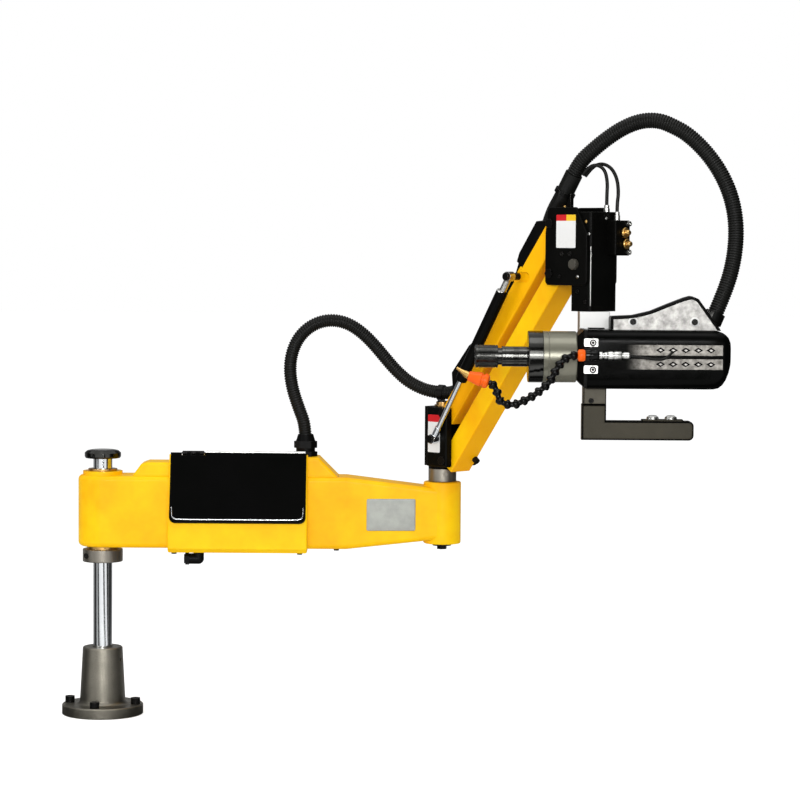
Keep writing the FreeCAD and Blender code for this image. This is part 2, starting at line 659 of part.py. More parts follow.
def make_elbow():
    knuckle = block(fork_web_u0, pin_u - link_end_clear, -fork_inner - 1, fork_inner + 1, fork_bottom_z,
                    fork_top_z)
    knuckle = rounded(knuckle, 8.0, lambda m, w, e: along(w, "z") and m.x < 0)
    parts = [knuckle]
    for side in (-1, 1):
        y0, y1 = sorted((side * fork_inner, side * fork_outer))
        cheek = block(fork_u0, fork_u1, y0, y1, fork_bottom_z, fork_top_z)
        cheek = rounded(cheek, 3.0, lambda m, w, e: along(w, "y") or (abs(abs(m.y) - fork_outer) < 0.1))
        parts.append(cheek)
    foot = rod(elbow_collar_r, vec(0, 0, elbow_collar_z), vec(0, 0, fork_bottom_z + 1))
    knuckle = parts[0].fuse(parts[1:] + [foot])
    sweep = rod(link_end_clear, vec(pin_u, -fork_inner, low_pin_z), vec(pin_u, fork_inner, low_pin_z))
    knuckle = knuckle.cut(sweep).removeSplitter()
    knuckle = knuckle.cut(rod(elbow_neck_r + run_gap, vec(0, 0, elbow_collar_z - 1),
                              vec(0, 0, fork_top_z + 1)))
    pins = []
    for z in (low_pin_z, high_pin_z):
        knuckle = knuckle.cut(rod(link_pin_r + run_gap, vec(pin_u, -fork_outer - 1, z),
                                  vec(pin_u, fork_outer + 1, z)))
        pins.append(link_pin(pin_u, z, fork_outer))
    knuckle = knuckle.cut(rod(stud_r, vec(spring_low_u, -fork_outer + 12, spring_low_z),
                              vec(spring_low_u, -fork_outer - 1, spring_low_z)))
    pins.append(ball_stud(spring_low_u, spring_low_z, fork_outer - 12))
    keep("elbow_knuckle", on_arm(knuckle))
    keep("elbow_link_pins", group([on_arm(p) for p in pins]))
    base = elbow_bottom_z - face_gap
    pin = rod(elbow_pin_r, vec(0, 0, base), vec(0, 0, elbow_top_z + face_gap))
    pin = pin.fuse(rod(elbow_neck_r, vec(0, 0, elbow_top_z), vec(0, 0, fork_top_z)))
    bolt = tube(elbow_pin_r + 4, 4, vec(0, 0, base - 4), vec(0, 0, base))
    bolt_head = pointed(hexagon_prism(9.5, 0, 7), vec(0, 0, base - 4), vec(0, 0, -1))
    nut_z = fork_top_z
    washer = tube(16, 8, vec(0, 0, nut_z), vec(0, 0, nut_z + 3))
    stem = rod(8, vec(0, 0, nut_z - 1), vec(0, 0, nut_z + 8))
    nut = turned([(0, nut_z + 3), (13, nut_z + 3), (13, nut_z + 8), (10, nut_z + 10), (0, nut_z + 10)])
    nut = nut.cut(rod(8, vec(0, 0, nut_z - 1), vec(0, 0, nut_z + 8)))
    bolt = bolt.fuse(bolt_head).cut(pin)
    low, way = middle_of_run(lower_route, clip_run)
    band = tube(lower_conduit_r + 2.6, lower_conduit_r + 0.5, low - way * 5.5, low + way * 5.5)
    foot = block(low.x - 7, low.x + 7, low.y - 8, low.y + 8, nut_z + 10, nut_z + 15)
    clip = band.fuse(foot.cut(rod(lower_conduit_r + 1, low - way * 20, low + way * 20)))
    keep("elbow_pin", group([on_arm(p) for p in (pin.fuse(stem), bolt, washer, nut)] + [clip]))
    collar = tube(elbow_collar_r, elbow_neck_r + run_gap, vec(0, 0, elbow_top_z + face_gap),
                  vec(0, 0, elbow_collar_z))
    collar = rounded(collar, 1.2, lambda m, w, e: abs(e.Length - 2 * math.pi * elbow_collar_r) < 0.1)
    collar = collar.cut(sweep)
    way = vec(math.cos(math.radians(-34)), math.sin(math.radians(-34)), 0)
    middle = vec(0, 0, elbow_collar_z - 10)
    hole = rod(3.5, middle + way * elbow_neck_r, middle + way * (elbow_collar_r + 1))
    grub = rod(3.4, middle + way * (elbow_neck_r + 0.1), middle + way * (elbow_collar_r - 1))
    keep("elbow_collar", group([on_arm(collar.cut(hole)), on_arm(grub)]))


def link_pin(u, z, reach):
    """A pivot pin through a fork, with a low head on the near side and a nut on the far side."""
    pin = rod(link_pin_r, vec(u, -reach, z), vec(u, reach, z))
    head = pointed(hexagon_prism(link_pin_head_r, 0, link_pin_head_h), vec(u, -reach, z), vec(0, -1, 0))
    nut = pointed(hexagon_prism(link_pin_head_r, 0, 6), vec(u, reach, z), vec(0, 1, 0))
    return pin.fuse([head, nut])


def ball_stud(u, z, root):
    """A stud on the near side that carries one eye of the gas spring, with its screw head."""
    shank = rod(stud_r, vec(u, -root, z), vec(u, -spring_w - eye_half - 0.3, z))
    shoulder = rod(stud_r + 2.5, vec(u, -fork_outer if root > link_half else -link_half, z),
                   vec(u, -spring_w + eye_half + 0.3, z))
    head = rod(stud_r + 3.2, vec(u, -spring_w - eye_half - 0.3, z), vec(u, -spring_w - eye_half - 4.3, z))
    return shank.fuse([shoulder, head])


# ---- parallel links

def channel():
    """One link: a folded channel, open upward, with a welded tube at each pivot."""
    body = block(-link_end, link_length + link_end, -link_half, link_half, -link_under, link_over)
    body = rounded(body, 3.0, lambda m, w, e: along(w, "x") and m.z < 0)
    body = body.cut(block(-link_end - 1, link_length + link_end + 1, -link_half + link_wall,
                          link_half - link_wall,
                          -link_under + link_wall, link_over + 1))
    for x in (0, link_length):
        body = body.fuse(rod(pivot_tube_r, vec(x, -link_half - link_side_gap + face_gap, 0),
                             vec(x, link_half + link_side_gap - face_gap, 0)))
        body = body.cut(rod(link_pin_r + run_gap, vec(x, -fork_outer, 0), vec(x, fork_outer, 0)))
    return body


def make_links():
    keep("lower_link", on_link(channel(), low_pin_z))
    link = channel()
    bracket = block(spring_high_s - 16, spring_high_s + 16, -link_half + link_wall - 1,
                    -link_half + link_wall + 8,
                    -link_under + 2, spring_high_t + 9)
    link = on_link(link.fuse(bracket), high_pin_z)
    notch = block(notch_start_u, notch_u - notch_h / 2, -link_half - 1, -link_half + link_wall,
                  notch_z - notch_h / 2,
                  notch_z + notch_h / 2)
    notch = notch.fuse(rod(notch_h / 2, vec(notch_u - notch_h / 2, -link_half - 1, notch_z),
                           vec(notch_u - notch_h / 2, -link_half + link_wall, notch_z)))
    link = link.cut(on_arm(notch))
    stud_u, stud_z = spring_high_place()
    stud = ball_stud(stud_u, stud_z, link_half - link_wall - 5)
    keep("upper_link", group([link.cut(on_arm(stud)), on_arm(stud)]))
    keep("stop_bumper",
         on_link(rod(6.0, vec(18, link_half - 7, -link_under - 9), vec(18, link_half - 7, -link_under)),
                                low_pin_z))


def spring_high_place():
    u = pin_u + spring_high_s * math.cos(rise) - spring_high_t * math.sin(rise)
    z = high_pin_z + spring_high_s * math.sin(rise) + spring_high_t * math.cos(rise)
    return u, z


def make_trough():
    outline = [(40, 12.5), (40, 24), (62, 44), (130, 40), (149, 33), (308, 33), (344, 43.5),
               (link_length - 28, 45), (link_length - 12, 27), (link_length - 12, 12.5)]
    body = prism(outline, "y", -trough_half, trough_half)
    body = rounded(body, 4.0, lambda m, w, e: abs(abs(m.y) - trough_half) < 0.1 and m.z > 20)
    mouth_slot = block(link_length - 30, link_length - 18, -14, 14, 11, 24)
    body = body.cut(block(46, 58, -14, 14, 11, 22)).cut(mouth_slot)
    bracket_gap = block(spring_high_s - 17, spring_high_s + 17, -link_half, -link_half + link_wall + 9, 0,
                        60)
    trough = on_link(body.cut(bracket_gap), high_pin_z)
    for route, radius in ((sleeve_route, sleeve_outer_r), (lower_route[::-1], lower_conduit_r)):
        mouth = vec(*route[0])
        way = (vec(*route[1]) - mouth).normalize()
        trough = trough.cut(rod(radius + 0.4, mouth - way * trough_bore, mouth + way * 60))
    keep("cable_trough", trough)


# ---- gas spring

def make_gas_spring():
    u1, z1 = spring_high_place()
    length = math.hypot(u1 - spring_low_u, z1 - spring_low_z)
    angle = math.degrees(math.atan2(z1 - spring_low_z, u1 - spring_low_u))
    hole = rod(stud_r + run_gap, vec(0, -eye_half - 1, 0), vec(0, eye_half + 1, 0))
    eye = rod(eye_r, vec(0, -eye_half, 0), vec(0, eye_half, 0))
    stem = eye.fuse([rod(gas_rod_r + 1.5, vec(0, 0, 0), vec(26, 0, 0)),
                     rod(gas_rod_r, vec(20, 0, 0), vec(gas_rod_end, 0, 0)),
                     rod(gas_piston_r, vec(gas_rod_end - 8, 0, 0), vec(gas_rod_end, 0, 0))]).cut(hole)
    case = rod(gas_tube_r, vec(gas_tube_start, 0, 0), vec(gas_tube_end, 0, 0))
    case = rounded(case, 2.0, lambda m, w, e: abs(e.Length - 2 * math.pi * gas_tube_r) < 0.1)
    case = case.cut(rod(gas_tube_bore, vec(gas_tube_start + 8, 0, 0), vec(gas_tube_end - 6, 0, 0)))
    case = case.cut(rod(gas_gland_bore, vec(gas_tube_start - 1, 0, 0), vec(gas_tube_start + 9, 0, 0)))
    far_eye = rod(eye_r, vec(length, -eye_half, 0), vec(length, eye_half, 0))
    neck = rod(gas_rod_r + 1.5, vec(gas_tube_end - 1, 0, 0), vec(length, 0, 0))
    far_hole = rod(stud_r + run_gap, vec(length, -eye_half - 1, 0), vec(length, eye_half + 1, 0))
    case = case.fuse([far_eye, neck]).cut(far_hole)
    for name, shape in (("gas_spring_rod", stem), ("gas_spring_tube", case)):
        shape.rotate(vec(0, 0, 0), vec(0, 1, 0), -angle)
        shape.translate(vec(spring_low_u, -spring_w, spring_low_z))
        keep(name, on_arm(shape))


# ---- head knuckle

def make_head_knuckle():
    low_z, high_z = top_low_pin_z, top_low_pin_z + pin_spacing
    core = block(core_u0, housing_u0, -cover_plate_w0, cover_plate_w0, cover_z0, housing_z1)
    cheeks = [block(cover_u0, core_u0 + 2, *sorted((side * fork_inner, side * cover_plate_w0)),
                    cover_z0, housing_z1) for side in (-1, 1)]
    knuckle = core.fuse(cheeks).removeSplitter()
    for z in (low_z, high_z):
        knuckle = knuckle.cut(rod(link_pin_r + run_gap, vec(top_pin_u, -60, z), vec(top_pin_u, 60, z)))
    reach = cover_plate_w0 + cover_plate_t
    pins = [link_pin(top_pin_u, z, reach) for z in (low_z, high_z)]
    keep("head_knuckle", on_arm(knuckle))
    keep("head_link_pins", group([on_arm(p) for p in pins]))
    plates = []
    for side in (-1, 1):
        y0, y1 = sorted((side * cover_plate_w0, side * reach))
        outline = [(cover_u0 + 6, cover_z1), (cover_u0, cover_z1 - cover_slope_z), (cover_u0, cover_z0),
                   (cover_u1, cover_z0), (cover_u1, cover_z1 - cover_slope_z),
                   (cover_u1 - cover_slope_u, cover_z1)]
        plate = prism(outline, "y", y0, y1)
        plate = rounded(plate, cover_corner_r, lambda m, w, e: along(w, "y"))
        plate = rounded(plate, 1.5, lambda m, w, e: abs(m.y - side * reach) < 0.1)
        for z in (low_z, high_z):
            plate = plate.cut(rod(link_pin_r + run_gap, vec(top_pin_u, -60, z), vec(top_pin_u, 60, z)))
        plates.append(plate)
    lock_hole = rod(3.0 + run_gap, vec(lock_knob_u, -reach - 1, lock_knob_z),
                    vec(lock_knob_u, -26, lock_knob_z))
    keep("side_covers", group([on_arm(plates[0].cut(lock_hole)), on_arm(plates[1])]))
    housing = block(housing_u0, housing_u1, -housing_half, housing_half, housing_z0, housing_z1)
    housing = rounded(housing, 5.0, lambda m, w, e: along(w, "z"))
    housing = rounded(housing, 3.0, lambda m, w, e: m.z > housing_z1 - 0.1)
    bore = rod(spindle_r + run_gap, vec(swivel_u, 0, housing_z0 - 1), vec(swivel_u, 0, spindle_top_z + 2))
    keep("swivel_housing", on_arm(housing.cut(bore).cut(lock_hole)))
    knob = rod(lock_knob_r, vec(lock_knob_u, -reach - face_gap, lock_knob_z),
               vec(lock_knob_u, -reach - lock_knob_len, lock_knob_z))
    knob = rounded(knob, 2.0, lambda m, w, e: abs(m.y + reach + lock_knob_len) < 0.1)
    for i in range(6):
        angle = math.radians(60 * i)
        out = lock_knob_r + 1.5
        flute = vec(lock_knob_u + out * math.cos(angle), 0, lock_knob_z + out * math.sin(angle))
        knob = knob.cut(rod(3.0, flute - vec(0, reach + 4, 0), flute - vec(0, reach + lock_knob_len + 1, 0)))
    keep("lock_knob", on_arm(knob.fuse(rod(3.0, vec(lock_knob_u, -reach - 2, lock_knob_z),
                                           vec(lock_knob_u, -27, lock_knob_z)))))


def make_valve_block():
    body = block(housing_u1, valve_u1, -valve_w1, -valve_w0, valve_z0, valve_z1)
    body = rounded(body, 2.5, lambda m, w, e: m.x > housing_u1 + 1)
    pieces = [body]
    for w, z in ((-43.0, valve_z1 - 6), (-43.0, valve_z0 + 6)):
        screw = pointed(socket_screw(4.5, 4.0, 2.5, 6), vec(valve_u1, -w, z), vec(1, 0, 0))
        pieces[0] = pieces[0].cut(rod(2.5, vec(valve_u1 - 6, -w, z), vec(valve_u1 + 1, -w, z)))
        pieces.append(screw)
    for name, w, z in (("valve_knob_upper", -31.0, valve_z1 - 22),
                       ("valve_knob_lower", -35.0, valve_z1 - 42)):
        pieces[0] = pieces[0].cut(rod(3.0 + run_gap, vec(valve_u1 - 12, -w, z), vec(valve_u1 + 1, -w, z)))
        knob = rod(valve_knob_r, vec(valve_u1 + face_gap, -w, z), vec(valve_u1 + 5, -w, z))
        knob = knob.fuse(rod(5.0, vec(valve_u1 + 4, -w, z), vec(valve_u1 + 14, -w, z)))
        knob = rounded(knob, 1.0, lambda m, way,
                       e: m.x > valve_u1 + 1 and abs(e.Length - 2 * math.pi * 5) > 0.1)
        keep(name, on_arm(knob.fuse(rod(3.0, vec(valve_u1 - 11, -w, z), vec(valve_u1 + 2, -w, z)))))
    for foot, height in ((vec(valve_u1 - 12, 25, valve_z1), 9), (vec(housing_u1 - 8, 15, housing_z1), 6)):
        top = foot + vec(0, 0, height)
        pieces.append(rod(5.5, foot, top).fuse(rod(4.6, top, top + vec(0, 0, 6))))
    keep("valve_block", group([on_arm(p) for p in pieces]))
    middle, way = middle_of_run(sleeve_route, 2)
    band = tube(sleeve_outer_r + 3, sleeve_outer_r + 0.3, middle - way * 4, middle + way * 4)
    foot = block(core_u0 - 22, core_u0 + 12, -10, -2, housing_z1, housing_z1 + 6)
    tongue = on_arm(foot.fuse(block(core_u0 - 22, core_u0 - 5, -10, -2, housing_z1, housing_z1 + 38)))
    tongue = tongue.cut(rod(sleeve_outer_r + 1.5, middle - way * 60, middle + way * 60))
    keep("sleeve_clamp", band.fuse(tongue))


# ---- neck

def make_neck():
    centre = vec(swivel_x, 0, 0)
    body = block(-neck_half, neck_half, neck_y0, neck_y1, head_z, housing_z0 - face_gap)
    body = body.fuse(rod(neck_half, vec(0, neck_y0, head_z), vec(0, neck_y1, head_z))).removeSplitter()
    body = rounded(body, 3.0, lambda m, w, e: abs(w.z) > 0.99 and m.z > head_z)
    body = body.cut(rod(tilt_pin_r + run_gap, vec(0, neck_y0 - 1, head_z), vec(0, neck_y1 + 1, head_z)))
    body.translate(centre)
    spindle = rod(spindle_r, vec(swivel_x, swivel_y, housing_z0 - face_gap - 1),
                  vec(swivel_x, swivel_y, spindle_top_z))
    keep("swivel_neck", body.fuse(spindle))


# ---- head

def make_clamp():
    flange = block(clamp_x0, clamp_step_x, -flange_half, flange_half, -flange_half - 1, flange_half - 1)
    front = [e for e in flange.Edges if abs(e.CenterOfMass.x - clamp_x0) < 0.01]
    flange = flange.makeChamfer(flange_chamfer, front)
    body = block(clamp_step_x, clamp_x1, -body_half, body_half, -body_half - body_drop,
                 body_half - body_drop)
    body = rounded(body, shroud_corner_r - shroud_wall, lambda m, w, e: along(w, "x"))
    clamp = flange.fuse(body).removeSplitter()
    clamp = clamp.cut(rod(spigot_r + run_gap, vec(clamp_x0 - 1, 0, 0), vec(spigot_x1 + 1, 0, 0)))
    clamp = clamp.cut(rod(12.0, vec(spigot_x1, 0, 0), vec(clamp_x1 + 1, 0, 0)))
    keep("motor_clamp", on_head(clamp))
    back = neck_y0 - face_gap - head_y
    boss = rod(tilt_flange_r, vec(0, body_half, 0), vec(0, back, 0))
    boss = boss.cut(block(clamp_x0 - 2, clamp_step_x, 0, flange_half, -flange_half, flange_half))
    boss = boss.fuse(rod(tilt_pin_r, vec(0, back - 1, 0), vec(0, neck_y1 - head_y + 6, 0)))
    nut = rod(tilt_pin_r + 6, vec(0, neck_y1 - head_y + face_gap, 0), vec(0, neck_y1 - head_y + 8, 0))
    keep("tilt_boss", on_head(boss.fuse(nut)))
    pads = [on_head(block(-16, 12, -12, 12, flange_half - 2.4, flange_half + 1.5))]
    for z in (27.0, -20.0):
        pad = block(-26.5, -2.0, -shroud_half - 3.0, -shroud_half - 0.1, z - 7, z + 7)
        pad = rounded(pad, 2.0, lambda m, w, e: along(w, "y"))
        screw = pointed(socket_screw(5.0, 4.0, 3.0, 2.0), vec(-11.0, -shroud_half - 3.0, z), vec(0, -1, 0))
        pads += [on_head(pad.cut(rod(3.0, vec(-11, -60, z), vec(-11, -50, z)))), on_head(screw)]
    keep("clamp_pads", group(pads))


def make_shroud():
    low, high = -flange_half - 4.5, flange_half - 3.5 + 1.0
    outline = [(clamp_step_x, low), (shroud_x1 - 21, low), (shroud_x1 - 8, low + 14), (shroud_x1, low + 46),
               (shroud_x1, high - 12), (shroud_x1 - 9, high), (clamp_step_x, high)]
    body = prism(outline, "y", -shroud_half, shroud_half)
    body = rounded(body, shroud_corner_r, lambda m, w, e: along(w, "x") and e.Length > 100)
    wall = shroud_wall
    inner = [(clamp_step_x - 1, low + wall), (shroud_x1 - 23, low + wall), (shroud_x1 - 11, low + 17),
             (shroud_x1 - wall, low + 48), (shroud_x1 - wall, high - 14), (shroud_x1 - 11, high - wall),
             (clamp_step_x - 1, high - wall)]
    cavity = prism(inner, "y", -shroud_half + wall, shroud_half - wall)
    cavity = rounded(cavity, shroud_corner_r - wall, lambda m, w, e: along(w, "x") and e.Length > 100)
    body = body.cut(cavity)
    for side in (-1, 1):
        y0, y1 = sorted((side * (shroud_half - 1.2), side * (shroud_half + 1)))
        for z in vent_z:
            band = block(band_x0, band_x1, y0, y1, z - band_h / 2, z + band_h / 2)
            band = rounded(band, 5.0, lambda m, w, e: along(w, "y"))
            body = body.cut(band)
            for i in range(5):
                x = vent_x0 + i * vent_pitch
                slot = [(x - vent_w / 2, z), (x, z - vent_h / 2), (x + vent_w / 2, z), (x, z + vent_h / 2)]
                body = body.cut(prism(slot, "y",
                                      *sorted((side * (shroud_half - wall - 1), side * (shroud_half + 1)))))
    body = body.cut(rod(tilt_flange_r + 0.4, vec(0, body_half - 1, 0), vec(0, body_half + 10, 0)))
    keep("motor_shroud", on_head(body))
    motor = block(clamp_x1, clamp_x1 + 150, -40, 40, -40, 40)
    motor = rounded(motor, 6.0, lambda m, w, e: along(w, "x"))
    encoder = block(clamp_x1 + 150, clamp_x1 + 190, -34, 34, -34, 34)
    shaft = rod(9.0, vec(spigot_x1 + 0.5, 0, 0), vec(clamp_x1 + 1, 0, 0))
    keep("servo_motor", on_head(motor.fuse([encoder, shaft])))


def make_gearbox():
    body = rod(gearbox_r, vec(gearbox_x0, 0, 0), vec(clamp_x0, 0, 0))
    body = rounded(body, 1.5, lambda m, w, e: abs(e.Length - 2 * math.pi * gearbox_r) < 0.1)
    body = body.fuse(rod(spigot_r, vec(clamp_x0 - 1, 0, 0), vec(spigot_x1, 0, 0)))
    shaft_hole = rod(chuck_shaft_r + run_gap, vec(disc_x0 - 1, 0, 0), vec(-70, 0, 0))
    keep("gearbox", on_head(body.cut(shaft_hole)))
    disc = rod(gearbox_r + 0.6, vec(disc_x0, 0, 0), vec(gearbox_x0, 0, 0))
    disc = rounded(disc, 2.0, lambda m, w, e: abs(m.x - disc_x0) < 0.1)
    keep("gearbox_disc", on_head(disc.cut(shaft_hole)))
    shank = rod(shank_r, vec(shank_x0, 0, 0), vec(disc_x0 - face_gap, 0, 0))
    shank = rounded(shank, 1.0, lambda m, w, e: abs(e.Length - 2 * math.pi * shank_r) < 0.1)
    nose = rod(chuck_nose_r, vec(chuck_nose_x, 0, 0), vec(shank_x0 + 1, 0, 0))
    shaft = rod(chuck_shaft_r, vec(disc_x0 - 1, 0, 0), vec(-71, 0, 0))
    bore = rod(chuck_bore_r, vec(chuck_nose_x - 1, 0, 0), vec(chuck_nose_x + chuck_bore_depth, 0, 0))
    keep("chuck_body", on_head(shank.fuse([nose, shaft]).cut(bore)))
    sleeve = tube(sleeve_r, chuck_nose_r + run_gap, vec(sleeve_x0, 0, 0), vec(sleeve_x0 + sleeve_len, 0, 0))
    sleeve = rounded(sleeve, 1.5, lambda m, w, e: abs(e.Length - 2 * math.pi * sleeve_r) < 0.1)
    keep("chuck_sleeve", on_head(sleeve))


def make_hood():
    outline = [(21.5, 47.8), (21.5, 72), (61.7, 74), (93, 81.5), (123, 94), (151, 105), (163, 108.5),
               (175.5, 103.5),
               (215.5, 47.8)]
    body = prism(outline, "y", -hood_half, hood_half)
    body = rounded(body, 4.0, lambda m, w, e: along(w, "y") and m.z > 60)
    inner = [(21.5 + hood_wall, 47), (21.5 + hood_wall, 69), (62, 71), (94, 78.5), (124, 91), (152, 102),
             (163, 105),
             (173, 101), (212, 47)]
    body = body.cut(prism(inner, "y", -hood_half - 1, hood_half + 1))
    web = prism([(22, 47.8), (22, 71.5), (61.7, 73.5), (93, 81), (123, 93.5), (151, 104.5), (163, 108),
                 (175, 103), (215, 47.8)], "y", -hood_half + 2, -hood_half + 4)
    way = (conduit_end - conduit_exit).normalize()
    hole = rod(upper_conduit_r + 3.6, conduit_end - way * 24, conduit_end + way * 14)
    gland = tube(upper_conduit_r + 3.5, upper_conduit_r + 0.1, conduit_end - way * 12, conduit_end + way * 7)
    keep("cable_hood", group([on_head(body.fuse(web).cut(hole)), on_head(gland)]))


def make_handle():
    mount = block(-24.5, 15.7, -22, 22, handle_part_z + 0.1, -flange_half - 1.1)
    mount = rounded(mount, 3.0, lambda m, w, e: abs(abs(m.y) - 22) < 0.1)
    mount = mount.cut(block(clamp_step_x - 0.3, 40, -30, 30, -flange_half - 4.6, -40))
    keep("handle_mount", on_head(mount))
    outline = [(handle_x0, handle_part_z), (handle_x0, handle_bottom_z), (bar_x1, handle_bottom_z),
               (bar_x1, bar_top_z),
               (handle_x1, bar_top_z), (handle_x1, handle_part_z)]
    grip = prism(outline, "y", -handle_half, handle_half)
    grip = rounded(grip, 9.0, lambda m, w, e: along(w, "y") and m.x > handle_x1 + 5)
    grip = rounded(grip, 5.0, lambda m, w, e: abs(abs(m.y) - handle_half) < 0.1)
    plate = block(79.5, 152, -13, 13, bar_top_z - 1, bar_top_z + 2.5)
    plate = rounded(plate, 2.0, lambda m, w, e: along(w, "z"))
    grip = grip.fuse(plate)
    for x in button_x:
        grip = grip.fuse(cone(11.5, button_r + 1.2, vec(x, 0, bar_top_z + 2), vec(x, 0, bar_top_z + 7.1)))
    for name, x in zip(("start_button", "reverse_button"), button_x):
        grip = grip.cut(rod(button_r + run_gap, vec(x, 0, bar_top_z - 10), vec(x, 0, bar_top_z + 10)))
        cap = rod(button_r, vec(x, 0, bar_top_z - 6), vec(x, 0, button_top_z))
        cap = rounded(cap, 1.5, lambda m, w, e: abs(m.z - button_top_z) < 0.1)
        keep(name, on_head(cap))
    keep("handle_grip", on_head(grip))


def make_coolant():
    y, z = coolant_y, coolant_z
    body = rod(9.0, vec(-25, y, z),
               vec(-0.5, y, z)).fuse(block(-22, -4, y, -shroud_half - 0.1, z - 8, z + 8))
    body = body.fuse(rod(6.5, vec(-1, y, z), vec(14, y, z)))
    fitting = rod(7.7, vec(14, y, z), vec(40, y, z)).fuse(rod(6.2, vec(39, y, z), vec(53.4, y, z)))
    collar = rod(10.5, vec(-38, y, z), vec(-25, y, z))
    keep("coolant_valve", group([on_head(body), on_head(fitting), on_head(collar)]))
    points = [vec(*p) for p in hose_route]
    hose = cone(hose_r, hose_waist_r, points[0], points[1])
    for a, b in zip(points[1:], points[2:]):
        hose = hose.fuse([Part.makeSphere(hose_waist_r, a), cone(hose_r, hose_waist_r, a, b)])
    way = (nozzle_end - points[-1]).normalize()
    throat = points[-1] + way * 14
    hose = hose.fuse([cone(hose_r, nozzle_r, points[-1], throat), cone(nozzle_r, 5.0, throat, nozzle_end)])
    tip_way = (nozzle_tip - nozzle_end).normalize()
    tip = cone(4.5, 2.2, nozzle_end - tip_way * 2.0, nozzle_tip)
    keep("coolant_hose", on_head(hose.fuse(tip)))


# ---- conduits

def cord(points, radius, name):
    """A tube along straight runs joined by tangent arcs, one arc at each inner point."""
    points = [vec(*p) for p in points]
    runs = [(b - a).Length for a, b in zip(points, points[1:])]
    edges = []
    radii = []
    at = points[0]
    for i in range(1, len(points) - 1):
        into = (points[i] - points[i - 1]).normalize()
        out = (points[i + 1] - points[i]).normalize()
        reach = 0.45 * min(runs[i - 1], runs[i])
        half = into.getAngle(out) / 2
        radii.append(reach / math.tan(half))
        start, end = points[i] - into * reach, points[i] + out * reach
        middle_way = (out - into).normalize()
        middle = points[i] + middle_way * (radii[-1] / math.cos(half) - radii[-1])
        edges.append(Part.LineSegment(at, start).toShape())
        edges.append(Part.Arc(start, middle, end).toShape())
        at = end
    edges.append(Part.LineSegment(at, points[-1]).toShape())
    path = Part.Wire(edges)
    section = Part.Wire(Part.makeCircle(radius, points[0], points[1] - points[0]))
    solid = path.makePipeShell([section], True, False)
    wanted = math.pi * radius ** 2 * path.Length
    print(name, "length", round(path.Length), "radii", [round(r) for r in radii],
          "volume ratio", round(solid.Volume / wanted, 4))
    return solid


def middle_of_run(route, i):
    """The middle of one of a cord's runs, and the way it goes."""
    start, end = vec(*route[i]), vec(*route[i + 1])
    return (start + end) / 2, (end - start).normalize()


def halves(solid, route, i):
    """A cord's parts on the two sides of a flat cut across one of its runs."""
    at, way = middle_of_run(route, i)
    beyond = pointed(block(-far, far, -far, far, 0, far), at, way)
    return solid.cut(beyond), solid.common(beyond)


def make_conduits():
    before, after = halves(cord(lower_route, lower_conduit_r, "lower conduit"), lower_route, clip_run)
    keep("conduit_lower", before)
    keep("conduit_link", after)
    keep("conduit_sleeve", cord(sleeve_route, sleeve_outer_r, "conduit_sleeve"))
    before, after = halves(cord(upper_route, upper_conduit_r, "upper conduit"), upper_route, crown_run)
    keep("conduit_upper", before)
    keep("conduit_head", after)
    keep("air_tubes", group([cord(route, air_tube_r, "air_tube") for route in air_routes]))
    keep("coolant_tube", cord(coolant_route, coolant_tube_r, "coolant_tube"))


make_base()
make_column()
make_arm_casting()
make_hump()
make_control_box()
make_lid()
make_arm_fittings()
make_elbow()
make_links()
make_trough()
make_gas_spring()
make_head_knuckle()
make_valve_block()
make_neck()
make_clamp()
make_shroud()
make_gearbox()
make_hood()
make_handle()
make_coolant()
make_conduits()

for name, shape in nodes.items():
    shape.exportStep("parts/" + name + ".step")
print(len(nodes), "nodes")
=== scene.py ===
import bpy
import math
from mathutils import Matrix, Vector


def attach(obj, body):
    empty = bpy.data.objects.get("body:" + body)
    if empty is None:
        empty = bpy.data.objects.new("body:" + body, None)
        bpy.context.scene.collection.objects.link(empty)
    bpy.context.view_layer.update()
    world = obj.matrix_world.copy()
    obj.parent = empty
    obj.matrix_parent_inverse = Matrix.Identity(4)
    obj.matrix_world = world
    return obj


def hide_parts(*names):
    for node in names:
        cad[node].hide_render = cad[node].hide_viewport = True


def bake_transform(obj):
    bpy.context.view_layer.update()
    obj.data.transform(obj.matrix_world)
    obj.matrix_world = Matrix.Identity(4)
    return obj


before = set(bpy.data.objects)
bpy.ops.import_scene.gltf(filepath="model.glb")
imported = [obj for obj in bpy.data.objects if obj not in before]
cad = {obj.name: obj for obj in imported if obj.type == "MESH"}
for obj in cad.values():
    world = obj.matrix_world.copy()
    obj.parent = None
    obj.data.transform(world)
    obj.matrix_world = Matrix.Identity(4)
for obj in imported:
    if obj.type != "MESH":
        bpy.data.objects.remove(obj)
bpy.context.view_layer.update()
print("frame loaded,", len(cad), "nodes")


def putDown():
    bpy.ops.object.select_all(action="DESELECT")


def endEdit():
    bpy.ops.object.mode_set(mode="OBJECT")


def editAll(kind=None):
    # edit mode, with all of the active mesh selected
    bpy.ops.object.mode_set(mode="EDIT")
    if kind is not None:
        bpy.ops.mesh.select_mode(type=kind)
    bpy.ops.mesh.select_all(action="SELECT")


def editVertices(thing, wanted):
    # edit mode, with just the vertices that wanted picks by their place
    bpy.ops.object.mode_set(mode="EDIT")
    bpy.ops.mesh.select_mode(type="VERT")
    bpy.ops.mesh.select_all(action="DESELECT")
    endEdit()
    for vertex in thing.data.vertices:
        vertex.select = wanted(vertex.co)
    bpy.ops.object.mode_set(mode="EDIT")


def extrudeOn(move, grow):
    # what is selected is drawn out by move, and its far end scaled by grow
    bpy.ops.mesh.extrude_region_move(TRANSFORM_OT_translate={"value": move})
    bpy.ops.transform.resize(value=grow)


def closeUp():
    # turns every face outwards and leaves edit mode
    bpy.ops.mesh.select_all(action="SELECT")
    bpy.ops.mesh.normals_make_consistent(inside=False)
    endEdit()


